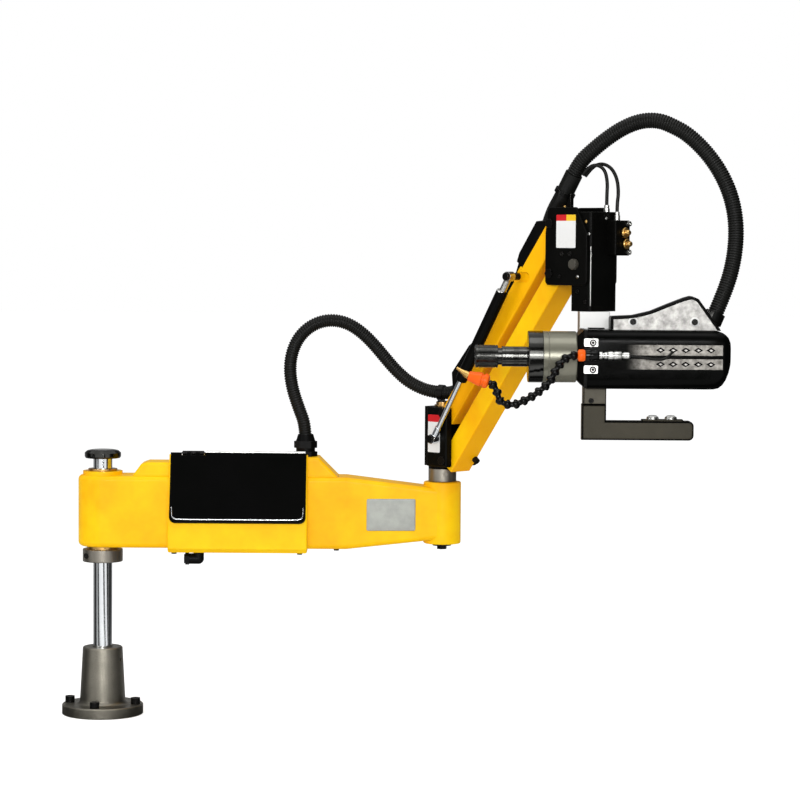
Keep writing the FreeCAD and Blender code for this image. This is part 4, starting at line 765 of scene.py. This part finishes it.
def makeLabel(name, corners, header, split, body):
    # a thin sticker on a flat wall: corners are two (u, w, z), header and split are where its colours part
    low, high = corners
    bpy.ops.mesh.primitive_plane_add(size=0.001, rotation=(math.pi / 2, 0, math.radians(-45)),
                                     location=(armPoint(*low) + armPoint(*high)) / 2)
    label = bpy.context.object
    label.name = name
    applyPlace(location=False, rotation=True)
    editAll("FACE")
    wide, tall = high[0] - low[0], high[2] - low[2]
    bpy.ops.transform.resize(value=(wide, wide, tall))
    endEdit()
    applyPlace()
    editAll()
    bpy.ops.mesh.bevel(offset=labelLook["corner"] / 1000, segments=4, affect="VERTICES")
    bpy.ops.mesh.select_all(action="SELECT")
    bpy.ops.mesh.bisect(plane_co=(0, 0, header / 1000), plane_no=(0, 0, 1))
    if split is not None:
        bpy.ops.mesh.select_all(action="SELECT")
        bpy.ops.mesh.bisect(plane_co=armPoint(split, 0, 0), plane_no=alongArm)
    bpy.ops.mesh.select_all(action="SELECT")
    bpy.ops.mesh.extrude_region_move(
        TRANSFORM_OT_translate={"value": towardsOperator * labelLook["lift"] / 1000})
    closeUp()
    return settle(label, body)


coverLabel = makeLabel("coverLabel", labelLook["cover"], labelLook["coverHeader"], labelLook["coverSplit"],
                       "head_knuckle")
elbowLabel = makeLabel("elbowLabel", labelLook["elbow"], labelLook["elbowHeader"], None, "elbow")
knuckleLook = {"screws": ((335.3, 42, 882.6, 4.0), (354.5, 42, 882.6, 4.0), (330, 42, 842, 3.0),
                          (386.4, 35.8, 797, 3.4), (367.6, 35.8, 815.5, 3.6)), "screwHeight": 2.2,
               "brass": ((386.4, 35.7, 940, 3.2), (312, 9.8, 967, 3.4)),
               "zinc": ((372.9, 42, 842, towardsOperator), (394, 35.8, 918, towardsOperator),
                        (398, -4, 946, alongArm)),
               "zincRings": [(0, 2.8), (1.6, 2.8), (2.3, 2.0)], "dotSides": 16,
               "edge": (397.5, 35.3), "edgeHeights": (790, 830, 860, 896), "edgeRadius": 0.9}
knuckleScrews = [screwHead("knuckleScrew" + str(i), armPoint(u, w, z), towardsOperator, radius,
                           knuckleLook["screwHeight"], "head_knuckle")
                 for i, (u, w, z, radius) in enumerate(knuckleLook["screws"])]
brassDots = [turnedPiece("brassDot" + str(i), armPoint(u, w, z), towardsOperator,
                         [(0, radius), (1.6, radius), (2.4, radius - 1)], "head_knuckle",
                         sides=knuckleLook["dotSides"])
             for i, (u, w, z, radius) in enumerate(knuckleLook["brass"])]
zincDots = [turnedPiece("zincDot" + str(i), armPoint(u, w, z), way, knuckleLook["zincRings"],
                        "head_knuckle", sides=knuckleLook["dotSides"])
            for i, (u, w, z, way) in enumerate(knuckleLook["zinc"])]
# painted highlight: a thin bright zinc bead up the housing's corner stands for the glint of light on that
# edge
housingEdgeGlint = makeBead("housingEdgeGlint", [armPoint(*knuckleLook["edge"], z) for z in knuckleLook["edgeHeights"]],
                       knuckleLook["edgeRadius"], "head_knuckle")
knobLook = {"from": 418.3, "places": (("upperValveKnob", "valve_knob_upper", -31, 921),
                                      ("lowerValveKnob", "valve_knob_lower", -35, 901)),
            "rings": [(0, 5.5), (0, 8.6), (0.8, 9.4), (4.0, 9.4), (5.0, 8.4), (5.0, 5.2), (6.4, 4.9),
                      (11.5, 4.9), (13.2, 3.8), (13.8, 1.8)]}
valveKnobs = [turnedPiece(name, armPoint(knobLook["from"], w, z), alongArm, knobLook["rings"], body,
                          body) for name, body, w, z in knobLook["places"]]
buttonLook = {"low": -111.7, "places": (("startDome", "start_button", 99),
                                        ("reverseDome", "reverse_button", 131)),
              "rings": [(0, 8.9), (7.4, 8.9), (8.8, 8.0), (9.7, 5.6), (10.1, 2.4)]}
buttonDomes = [turnedPiece(name, headPoint(x, 0, buttonLook["low"]), upwards, buttonLook["rings"], body,
                           body) for name, body, x in buttonLook["places"]]
coverLook = {"top": (-0.0499, 0.5046), "bottom": (-0.0929, 0.3756), "highlightRadius": 1.2,
             "highlightLine": [(0.1375, 0.404), (0.1375, 0.391), (0.1405, 0.3835), (0.149, 0.3815), (0.26, 0.3815),
                      (0.3725, 0.3815), (0.381, 0.3835), (0.384, 0.391), (0.384, 0.404)],
             "rodAt": (-0.0456, 0.5045), "rod": (0.199, 0.26, 0.32, 0.3865), "rodRadius": 2.8}


def coverFaceAt(z):
    # the cover's outer face leans out towards its lower edge
    top, bottom = coverLook["top"], coverLook["bottom"]
    share = (top[1] - z) / (top[1] - bottom[1])
    return top[0] + (bottom[0] - top[0]) * share


# painted reflection: a bright chrome bead along the cover's lower edge stands for the line of light reflected
# in that edge
coverEdgeHighlight = makeBead("coverEdgeHighlight", [(x, coverFaceAt(z), z) for x, z in coverLook["highlightLine"]],
                     coverLook["highlightRadius"], "screen_cover")
coverRod = makeBead("coverRod", [(x, *coverLook["rodAt"]) for x in coverLook["rod"]], coverLook["rodRadius"],
                    "screen_cover")
print("head and knuckle details made")

# shared effects for the finishes
def newGroup(name, inputs, outputs):
    group = bpy.data.node_groups.new(name, "ShaderNodeTree")
    for label, value in inputs:
        socket = group.interface.new_socket(name=label, in_out="INPUT", socket_type="NodeSocketFloat")
        socket.default_value = value
    for label, kind in outputs:
        group.interface.new_socket(name=label, in_out="OUTPUT", socket_type=kind)
    return group, group.nodes.new("NodeGroupInput"), group.nodes.new("NodeGroupOutput")


def noiseNode(tree, vector, scale, detail, rough):
    node = tree.nodes.new("ShaderNodeTexNoise")
    node.inputs["Detail"].default_value = detail
    node.inputs["Roughness"].default_value = rough
    if isinstance(scale, (int, float)):
        node.inputs["Scale"].default_value = scale
    else:
        join(tree, scale, node.inputs["Scale"])
    join(tree, vector, node.inputs["Vector"])
    return node.outputs["Fac"]


def makeEdgeGroup():
    # rounds sharp edges in the shading and finds them; the finishes colour them as wear, with painted
    # highlight on the yellow paint and painted shade on the handle
    group, start, end = newGroup("rubbed edges", [("Radius", 0.0008), ("Reach", 6.0), ("Breakup", 60.0)],
                                 [("Edge", "NodeSocketFloat"), ("Normal", "NodeSocketVector")])
    bevel = group.nodes.new("ShaderNodeBevel")
    bevel.samples = 4
    join(group, start.outputs["Radius"], bevel.inputs["Radius"])
    flat = group.nodes.new("ShaderNodeNewGeometry")
    dot = group.nodes.new("ShaderNodeVectorMath")
    dot.operation = "DOT_PRODUCT"
    join(group, bevel.outputs["Normal"], dot.inputs[0])
    join(group, flat.outputs["Normal"], dot.inputs[1])
    away = mathNode(group, "SUBTRACT", 1.0, dot.outputs["Value"])
    strong = mathNode(group, "MULTIPLY", away, start.outputs["Reach"], True)
    noise = noiseNode(group, objectPlace(group), start.outputs["Breakup"], 4.0, 0.6)
    lifted = mathNode(group, "MULTIPLY", mathNode(group, "SUBTRACT", noise, 0.32), 2.6, True)
    join(group, mathNode(group, "MULTIPLY", strong, lifted, True), end.inputs["Edge"])
    join(group, bevel.outputs["Normal"], end.inputs["Normal"])
    return group


def makeGrainGroup():
    # fine grain for bump, broad patches for tone, and soft smudges
    group, start, end = newGroup("surface grain", [("Grain", 900.0), ("Patch", 9.0), ("Along X", 1.0),
                                                   ("Along Y", 1.0), ("Along Z", 1.0)],
                                 [("Height", "NodeSocketFloat"), ("Patch", "NodeSocketFloat"),
                                  ("Smudge", "NodeSocketFloat")])
    place = objectPlace(group)
    stretch = group.nodes.new("ShaderNodeCombineXYZ")
    for letter in "XYZ":
        join(group, start.outputs["Along " + letter], stretch.inputs[letter])
    scaled = group.nodes.new("ShaderNodeVectorMath")
    scaled.operation = "MULTIPLY"
    join(group, place, scaled.inputs[0])
    join(group, stretch.outputs[0], scaled.inputs[1])
    join(group, noiseNode(group, scaled.outputs[0], start.outputs["Grain"], 3.0, 0.55), end.inputs["Height"])
    join(group, noiseNode(group, place, start.outputs["Patch"], 4.0, 0.6), end.inputs["Patch"])
    join(group, noiseNode(group, place, 34.0, 5.0, 0.65), end.inputs["Smudge"])
    return group


def makeCastGroup():
    # the skin that a sand mould leaves: pits, lumps and a coarse grain
    group, start, end = newGroup("cast skin", [("Size", 260.0)],
                                 [("Height", "NodeSocketFloat"), ("Pits", "NodeSocketFloat")])
    place = objectPlace(group)
    cells = group.nodes.new("ShaderNodeTexVoronoi")
    join(group, place, cells.inputs["Vector"])
    join(group, start.outputs["Size"], cells.inputs["Scale"])
    noise = noiseNode(group, place, start.outputs["Size"], 5.0, 0.7)
    lumps = mathNode(group, "MULTIPLY", noise, 1.3)
    join(group, mathNode(group, "ADD", lumps, mathNode(group, "MULTIPLY", cells.outputs["Distance"], 0.6)),
         end.inputs["Height"])
    pits = mathNode(group, "SUBTRACT", 0.28, cells.outputs["Distance"])
    join(group, mathNode(group, "MULTIPLY", pits, 3.0, True), end.inputs["Pits"])
    return group


edgeGroup = makeEdgeGroup()
grainGroup = makeGrainGroup()
castGroup = makeCastGroup()


def mixColour(tree, amount, a, b):
    node = tree.nodes.new("ShaderNodeMix")
    node.data_type = "RGBA"
    join(tree, amount, node.inputs["Factor"])
    for label, value in (("A", a), ("B", b)):
        socket = [s for s in node.inputs if s.name == label and s.type == "RGBA"][0]
        if isinstance(value, tuple):
            socket.default_value = (*value, 1)
        else:
            join(tree, value, socket)
    return [s for s in node.outputs if s.type == "RGBA"][0]


def placeGroup(tree, group, values):
    node = tree.nodes.new("ShaderNodeGroup")
    node.node_tree = group
    setSockets(node, values)
    return node.outputs


# what a finish is where it says nothing else; lengths in metres, grain and patch as noise scales
# rub sets how far the edge colour reaches in from an edge; that colour is wear, and on some finishes painted
# highlight and painted shade
plainLook = {"grain": 900.0, "patch": 9.0, "along": (1, 1, 1), "round": 0.0008, "rub": 5.0, "rubbed": 0.5,
             "metal": 0.0, "shine": 0.5, "coat": 0.0, "coatRough": 0.1, "bump": 0.2, "depth": 0.0003}


def makeFinish(name, changes):
    look = {**plainLook, **changes}
    material, tree, shader = newMaterial(name)
    material.diffuse_color = (*look["colour"], 1)
    along = look["along"]
    grain = placeGroup(tree, grainGroup, {"Grain": look["grain"], "Patch": look["patch"], "Along X": along[0],
                                          "Along Y": along[1], "Along Z": along[2]})
    edges = placeGroup(tree, edgeGroup, {"Radius": look["round"], "Reach": look["rub"]})
    tone = mathNode(tree, "MULTIPLY", mathNode(tree, "SUBTRACT", grain["Patch"], 0.3), 2.5, True)
    colour = mixColour(tree, tone, look["colour"], look["shade"])
    height = grain["Height"]
    if "cast" in look:
        skin = placeGroup(tree, castGroup, {"Size": look["cast"]})
        colour = mixColour(tree, skin["Pits"], colour, look["pit"])
        height = skin["Height"]
    # edge colour: wear, with painted highlight on the yellow paint and painted shade on the handle and its
    # mount
    colour = mixColour(tree, mathNode(tree, "MULTIPLY", edges["Edge"], look["rubbed"]), colour, look["edgeWearAndLight"])
    if "fade" in look:
        fade = rangeNode(tree, splitPlace(tree)["X"], *look["fade"])
        fade.interpolation_type = "SMOOTHSTEP"
        colour = mixColour(tree, fade.outputs["Result"], look["fadeTo"], colour)
    join(tree, colour, shader.inputs["Base Color"])
    rough = rangeNode(tree, grain["Smudge"], 0.3, 0.7, *look["rough"])
    join(tree, rough.outputs["Result"], shader.inputs["Roughness"])
    setSockets(shader, {"Metallic": look["metal"], "Specular IOR Level": look["shine"],
                        "Coat Weight": look["coat"], "Coat Roughness": look["coatRough"]})
    bump = tree.nodes.new("ShaderNodeBump")
    setSockets(bump, {"Strength": look["bump"], "Distance": look["depth"]})
    join(tree, height, bump.inputs["Height"])
    join(tree, edges["Normal"], bump.inputs["Normal"])
    join(tree, bump.outputs["Normal"], shader.inputs["Normal"])
    return material


labelFilm = {"rough": (0.25, 0.35), "shine": 0.3, "grain": 300.0, "bump": 0.03}
finishLooks = {
    "cast_pedestal": {"colour": (0.25, 0.235, 0.195), "shade": (0.14, 0.131, 0.108),
                      "edgeWearAndLight": (0.42, 0.4, 0.34), "pit": (0.06, 0.056, 0.046), "rough": (0.3, 0.44),
                      "metal": 0.97, "cast": 420.0, "bump": 0.55, "depth": 0.0005, "round": 0.0015,
                      "rub": 6.0},
    "black_steel": {"colour": (0.005, 0.005, 0.0048), "shade": (0.01, 0.0095, 0.009),
                    "edgeWearAndLight": (0.24, 0.23, 0.21), "rough": (0.22, 0.38), "metal": 0.6, "grain": 1400.0,
                    "bump": 0.1, "rubbed": 0.35, "shine": 0.15},
    "chrome_steel": {"colour": (0.74, 0.76, 0.77), "shade": (0.62, 0.64, 0.66), "edgeWearAndLight": (0.85, 0.85, 0.85),
                     "rough": (0.07, 0.16), "metal": 1.0, "grain": 700.0, "along": (0.06, 0.06, 1.0),
                     "bump": 0.05, "depth": 0.0001},
    "zinc_steel": {"colour": (0.6, 0.6, 0.58), "shade": (0.44, 0.44, 0.42), "edgeWearAndLight": (0.85, 0.85, 0.82),
                   "rough": (0.22, 0.36), "metal": 1.0, "grain": 1100.0, "bump": 0.1},
    # its lighter edge colour is wear and painted highlight along the edges
    "yellow_paint": {"colour": (0.98, 0.64, 0.0015), "shade": (0.92, 0.42, 0.001), "edgeWearAndLight": (1.0, 0.76, 0.06),
                     "rough": (0.32, 0.44), "coat": 0.03, "coatRough": 0.16, "grain": 430.0, "patch": 8.0,
                     "bump": 0.32, "depth": 0.0004, "round": 0.0016, "rub": 4.0, "rubbed": 0.35,
                     "shine": 0.1},
    "bronze": {"colour": (0.58, 0.36, 0.13), "shade": (0.44, 0.26, 0.09), "edgeWearAndLight": (0.8, 0.58, 0.28),
               "rough": (0.24, 0.36), "metal": 1.0, "bump": 0.1},
    "glossy_black": {"colour": (0.0012, 0.0014, 0.0012), "shade": (0.002, 0.002, 0.002),
                     "edgeWearAndLight": (0.04, 0.04, 0.04), "rough": (0.04, 0.09), "shine": 0.03, "coat": 0.02,
                     "coatRough": 0.03, "grain": 160.0, "bump": 0.02, "depth": 0.0002, "round": 0.002},
    "black_plastic": {"colour": (0.0016, 0.0016, 0.0016), "shade": (0.0035, 0.0035, 0.0032),
                      "edgeWearAndLight": (0.05, 0.05, 0.047), "rough": (0.28, 0.42), "grain": 1500.0, "bump": 0.12,
                      "shine": 0.08},
    "screen_glass": {"colour": (0.003, 0.0035, 0.0045), "shade": (0.01, 0.012, 0.016),
                     "edgeWearAndLight": (0.05, 0.05, 0.05), "rough": (0.03, 0.08), "coat": 0.25, "coatRough": 0.02,
                     "bump": 0.01, "shine": 0.3},
    "black_paint": {"colour": (0.0013, 0.0013, 0.0011), "shade": (0.003, 0.003, 0.0026),
                    "edgeWearAndLight": (0.04, 0.04, 0.036), "rough": (0.3, 0.45), "grain": 1300.0, "bump": 0.25,
                    "depth": 0.0002, "shine": 0.05, "round": 0.0012, "rubbed": 0.4},
    "bare_aluminium": {"colour": (0.62, 0.6, 0.56), "shade": (0.45, 0.43, 0.4), "edgeWearAndLight": (0.92, 0.92, 0.9),
                       "rough": (0.22, 0.34), "metal": 1.0, "along": (1.0, 1.0, 0.05), "bump": 0.08,
                       "depth": 0.0001},
    "grey_anodised": {"colour": (0.2, 0.196, 0.152), "shade": (0.16, 0.156, 0.12), "edgeWearAndLight": (0.75, 0.74, 0.68),
                      "rough": (0.2, 0.3), "metal": 0.3, "grain": 800.0, "along": (1.0, 0.05, 0.05),
                      "bump": 0.08, "depth": 0.0001, "shine": 0.25},
    "hood_metal": {"colour": (0.49, 0.48, 0.455), "shade": (0.13, 0.126, 0.12), "edgeWearAndLight": (0.85, 0.84, 0.8),
                   "rough": (0.26, 0.44), "metal": 0.35, "grain": 420.0, "patch": 62.0, "bump": 0.18},
    "shroud_plastic": {"colour": (0.0008, 0.001, 0.0008), "shade": (0.0018, 0.0018, 0.0016),
                       "edgeWearAndLight": (0.045, 0.045, 0.04), "rough": (0.16, 0.28), "shine": 0.04, "grain": 1600.0,
                       "bump": 0.1, "depth": 0.0002, "round": 0.0014},
    "conduit_rubber": {"colour": (0.004, 0.0042, 0.0036), "shade": (0.008, 0.008, 0.007),
                       "edgeWearAndLight": (0.04, 0.04, 0.034), "rough": (0.34, 0.48), "bump": 0.1, "shine": 0.16,
                       "round": 0.0004},
    "orange_plastic": {"colour": (0.92, 0.135, 0.006), "shade": (0.8, 0.1, 0.004), "edgeWearAndLight": (1.0, 0.42, 0.08),
                       "rough": (0.26, 0.38), "grain": 700.0, "bump": 0.1, "shine": 0.15},
    "brass_parts": {"colour": (0.66, 0.42, 0.14), "shade": (0.5, 0.3, 0.09), "edgeWearAndLight": (0.9, 0.7, 0.36),
                    "rough": (0.28, 0.4), "metal": 1.0, "bump": 0.1},
    "dull_steel": {"colour": (0.3, 0.275, 0.235), "shade": (0.16, 0.148, 0.125), "edgeWearAndLight": (0.45, 0.43, 0.4),
                   "rough": (0.3, 0.44), "metal": 0.88, "bump": 0.15},
    # painted shade: near-black edge colour on the handle and its mount, for the shade along their rounded
    # edges
    "handle_paint": {"colour": (0.058, 0.051, 0.035), "shade": (0.04, 0.036, 0.025),
                     "edgeWearAndLight": (0.002, 0.002, 0.002), "rough": (0.4, 0.55), "shine": 0.1, "grain": 1100.0,
                     "round": 0.0035, "rub": 12.0, "rubbed": 1.0},
    "mount_paint": {"colour": (0.115, 0.105, 0.08), "shade": (0.06, 0.054, 0.041),
                    "edgeWearAndLight": (0.002, 0.002, 0.002), "rough": (0.4, 0.55), "shine": 0.1, "grain": 1100.0,
                    "round": 0.003, "rub": 12.0, "rubbed": 1.0},
    "plate_metal": {"colour": (0.34, 0.35, 0.32), "shade": (0.26, 0.27, 0.25), "edgeWearAndLight": (0.42, 0.46, 0.5),
                    "rough": (0.34, 0.5), "metal": 0.3, "grain": 700.0, "patch": 40.0, "bump": 0.1,
                    "shine": 0.3, "round": 0.003, "rub": 10.0, "rubbed": 1.0},
    "knob_steel": {"colour": (0.085, 0.078, 0.06), "shade": (0.05, 0.046, 0.036), "edgeWearAndLight": (0.16, 0.15, 0.12),
                   "rough": (0.35, 0.5), "metal": 0.3},
    "band_metal": {"colour": (0.33, 0.315, 0.29), "shade": (0.095, 0.089, 0.079), "edgeWearAndLight": (0.4, 0.38, 0.35),
                   "rough": (0.34, 0.5), "metal": 0.5, "grain": 420.0, "patch": 110.0, "bump": 0.25,
                   "fade": (0.955, 1.0), "shine": 0.04, "fadeTo": (0.0012, 0.0014, 0.0012)},
    "vent_metal": {"colour": (0.55, 0.53, 0.5), "shade": (0.35, 0.33, 0.31), "edgeWearAndLight": (0.7, 0.68, 0.64),
                   "rough": (0.3, 0.45), "metal": 0.3, "bump": 0.1},
    "label_white": {"colour": (0.8, 0.8, 0.79), "shade": (0.72, 0.72, 0.71), "edgeWearAndLight": (0.5, 0.5, 0.5),
                    **labelFilm},
    "label_red": {"colour": (0.62, 0.012, 0.018), "shade": (0.5, 0.01, 0.014), "edgeWearAndLight": (0.7, 0.1, 0.1),
                  **labelFilm},
    "label_yellow": {"colour": (0.86, 0.55, 0.02), "shade": (0.76, 0.46, 0.015), "edgeWearAndLight": (0.9, 0.7, 0.2),
                     **labelFilm},
    "button_plastic": {"colour": (0.72, 0.72, 0.7), "shade": (0.62, 0.62, 0.6), "edgeWearAndLight": (0.85, 0.85, 0.85),
                       "rough": (0.22, 0.32), "bump": 0.05},
    "hose_black": {"colour": (0.0016, 0.0016, 0.0016), "shade": (0.003, 0.003, 0.003),
                   "edgeWearAndLight": (0.03, 0.03, 0.03), "rough": (0.06, 0.11), "shine": 0.14, "grain": 1200.0,
                   "bump": 0.05},
    "chuck_black": {"colour": (0.07, 0.07, 0.066), "shade": (0.03, 0.03, 0.028), "edgeWearAndLight": (0.3, 0.3, 0.28),
                    "rough": (0.12, 0.2), "metal": 1.0, "grain": 1100.0, "bump": 0.06},
    "chuck_steel": {"colour": (0.42, 0.42, 0.39), "shade": (0.3, 0.3, 0.28), "edgeWearAndLight": (0.75, 0.75, 0.72),
                    "rough": (0.14, 0.22), "metal": 1.0, "bump": 0.06},
    "bright_neck": {"colour": (0.96, 0.96, 0.945), "shade": (0.88, 0.88, 0.865), "edgeWearAndLight": (0.95, 0.95, 0.93),
                    "rough": (0.3, 0.42), "along": (1.0, 1.0, 0.05), "bump": 0.04, "depth": 0.0001,
                    "shine": 0.4},
    "ring_white": {"colour": (0.86, 0.86, 0.84), "shade": (0.7, 0.7, 0.68), "edgeWearAndLight": (0.95, 0.95, 0.93),
                   "rough": (0.25, 0.35), "bump": 0.04},
    # painted shade: a deeper orange yellow for the links' faces turned away from the light
    "painted_shade_yellow": {"colour": (0.98, 0.5, 0.0012), "shade": (0.92, 0.4, 0.001), "edgeWearAndLight": (1.0, 0.66, 0.05),
                    "rough": (0.34, 0.46), "grain": 430.0, "patch": 8.0, "bump": 0.32, "depth": 0.0004,
                    "round": 0.0016, "rub": 4.0, "rubbed": 0.35, "shine": 0.06},
}
finishes = {name: makeFinish(name.replace("_", " "), look) for name, look in finishLooks.items()}


def dress(thing, finish):
    thing.data.materials.clear()
    thing.data.materials.append(finishes[finish])


def paint(thing, finish, wanted):
    # faces that wanted picks by their middle and normal get a finish of their own
    thing.data.materials.append(finishes[finish])
    last = len(thing.data.materials) - 1
    turn = thing.matrix_world.to_3x3()
    for face in thing.data.polygons:
        if wanted(thing.matrix_world @ face.center, turn @ face.normal):
            face.material_index = last


nodeFinish = {"elbow_collar": "dull_steel", "support_collar": "dull_steel", "gearbox": "grey_anodised",
              "handle_grip": "handle_paint", "handle_mount": "mount_paint", "name_plate": "plate_metal",
              "chuck_body": "chuck_black", "lock_knob": "knob_steel", "servo_motor": "dull_steel",
              "gearbox_disc": "chuck_black", "swivel_neck": "bright_neck", "column_cap": "chuck_black"}
for name, node in cad.items():
    old = node.data.materials[0].name.split(".")[0]
    node.data.materials[0] = finishes[nodeFinish.get(name, old)]
pieceFinish = [("conduit_rubber", [lowerConduit, linkConduit, upperConduit, headConduit, conduitSleeve,
                                   airTubeThin, airTubeThick, coolantTube]),
               ("hose_black", [hoseLinks, valveBody]), ("black_plastic", [coolantFoot]),
               ("black_paint", [hoodRim]), ("orange_plastic", [hoseNozzle, orangeCollar]),
               ("brass_parts", [hoseTip] + brassDots + valveKnobs), ("shroud_plastic", [motorShroud]),
               ("zinc_steel", [valveNipple, pushInFitting, housingEdgeGlint, coverRod] + zincDots),
               ("ring_white", hoodRings), ("vent_metal", [ventInserts]), ("chuck_black", [chuckSleeve]),
               ("chuck_steel", [chuckShank]), ("grey_anodised", [gearboxCase]),
               ("black_steel", [mountBolt] + padScrews + hoodBolts + knuckleScrews),
               ("label_white", [coverLabel, elbowLabel]), ("button_plastic", buttonDomes),
               ("chrome_steel", [coverEdgeHighlight])]
for finish, things in pieceFinish:
    for thing in things:
        dress(thing, finish)


def inHead(place):
    # millimetres from the head's origin
    return (place - headOrigin) * 1000


def onBand(place, normal):
    # the sunk floor of the bands along the shroud
    look = shroudLook
    x, y, z = inHead(place)
    floor = look["side"] - look["bandDepth"]
    sunk = abs(y) < (floor + 0.05 if x > look["bandLeft"] + look["bandSlope"] else look["side"] - 0.05)
    inRow = min(abs(z - row) for row in look["ventRows"]) < look["bandHeight"] / 2
    return abs(normal.y) > 0.9 and sunk and inRow and abs(y) > floor - 0.1 and x < look["bandRight"]


def onHoodPaint(place, normal):
    # the hood's rim, its outer faces and all beyond its sloping end
    x, y, z = inHead(place)
    (endX, endZ), (aimX, aimZ) = hoodLook["glandAt"], hoodLook["glandAim"]
    past = (x - endX) * aimX + (z - endZ) * aimZ
    return abs(normal.y) < 0.5 or abs(y) > hoodLook["paintOut"] or past > hoodLook["glandPast"]


# the rounded edges between flat faces, which take painted shade on the handle
def onChamfer(place, normal):
    return 0.12 < abs(normal.y) < 0.9


# where the paint changes on the nodes: millimetres for the handle and the block's front, metres for the rest
handleLook = {"panelLow": -109.2, "panelHigh": -100, "panelFrom": 80, "panelTo": 150}
eyeLook = {"height": 0.84, "reach": 0.014, "front": 0.6095, "ballLow": 0.811}
pinLook = {"low": 0.3305, "high": 0.601, "bushLow": 0.590, "bushHigh": 0.5985}
blockLook = {"top": 0.9435, "front": 418.1}
# normals below this mark faces turned away from the light, for the painted shade on the links
underside = -0.3


def onButtonPanel(place, normal):
    look = handleLook
    x, y, z = inHead(place)
    return look["panelLow"] < z < look["panelHigh"] and look["panelFrom"] < x < look["panelTo"]


def onHeader(place, normal):
    return place.z * 1000 > labelLook["coverHeader"]


def onSpringEye(place, normal):
    return place.x + place.y < eyeLook["front"] and abs(place.z - eyeLook["height"]) < eyeLook["reach"]


paint(motorShroud, "band_metal", onBand)
paint(cad["cable_hood"], "black_paint", onHoodPaint)
paint(cad["clamp_pads"], "black_paint", lambda place, normal: inHead(place).z > padLook["paintOver"])
# painted shade: black on the handle grip's rounded edges
paint(cad["handle_grip"], "black_paint", onChamfer)
paint(cad["handle_grip"], "zinc_steel", onButtonPanel)
# painted shade: black on the handle mount's rounded edges
paint(cad["handle_mount"], "black_paint", onChamfer)
paint(cad["swivel_neck"], "dull_steel", lambda place, normal: abs(normal.x) > 0.9)
# painted shade: the links' undersides, and the upper link's left faces, take the deeper orange yellow of
# faces in shade
paint(cad["upper_link"], "painted_shade_yellow", lambda place, normal: normal.x < underside or normal.z < underside)
paint(cad["lower_link"], "painted_shade_yellow", lambda place, normal: normal.z < underside)
paint(cad["upper_link"], "black_steel", onSpringEye)
paint(cad["gas_spring_tube"], "zinc_steel", lambda place, normal: place.z > eyeLook["ballLow"])
paint(coverLabel, "label_red", lambda place, normal: onHeader(place, normal)
      and armPlace(place)[0] < labelLook["coverSplit"])
paint(coverLabel, "label_yellow", lambda place, normal: onHeader(place, normal)
      and armPlace(place)[0] > labelLook["coverSplit"])
paint(elbowLabel, "label_red", lambda place, normal: place.z * 1000 > labelLook["elbowHeader"])
paint(cad["elbow_pin"], "black_steel",
      lambda place, normal: place.z < pinLook["low"] or place.z > pinLook["high"])
paint(cad["elbow_pin"], "bronze", lambda place, normal: pinLook["bushLow"] < place.z < pinLook["bushHigh"])
paint(cad["valve_block"], "zinc_steel",
      lambda place, normal: place.z > blockLook["top"] or armPlace(place)[0] > blockLook["front"])
print("finishes on")
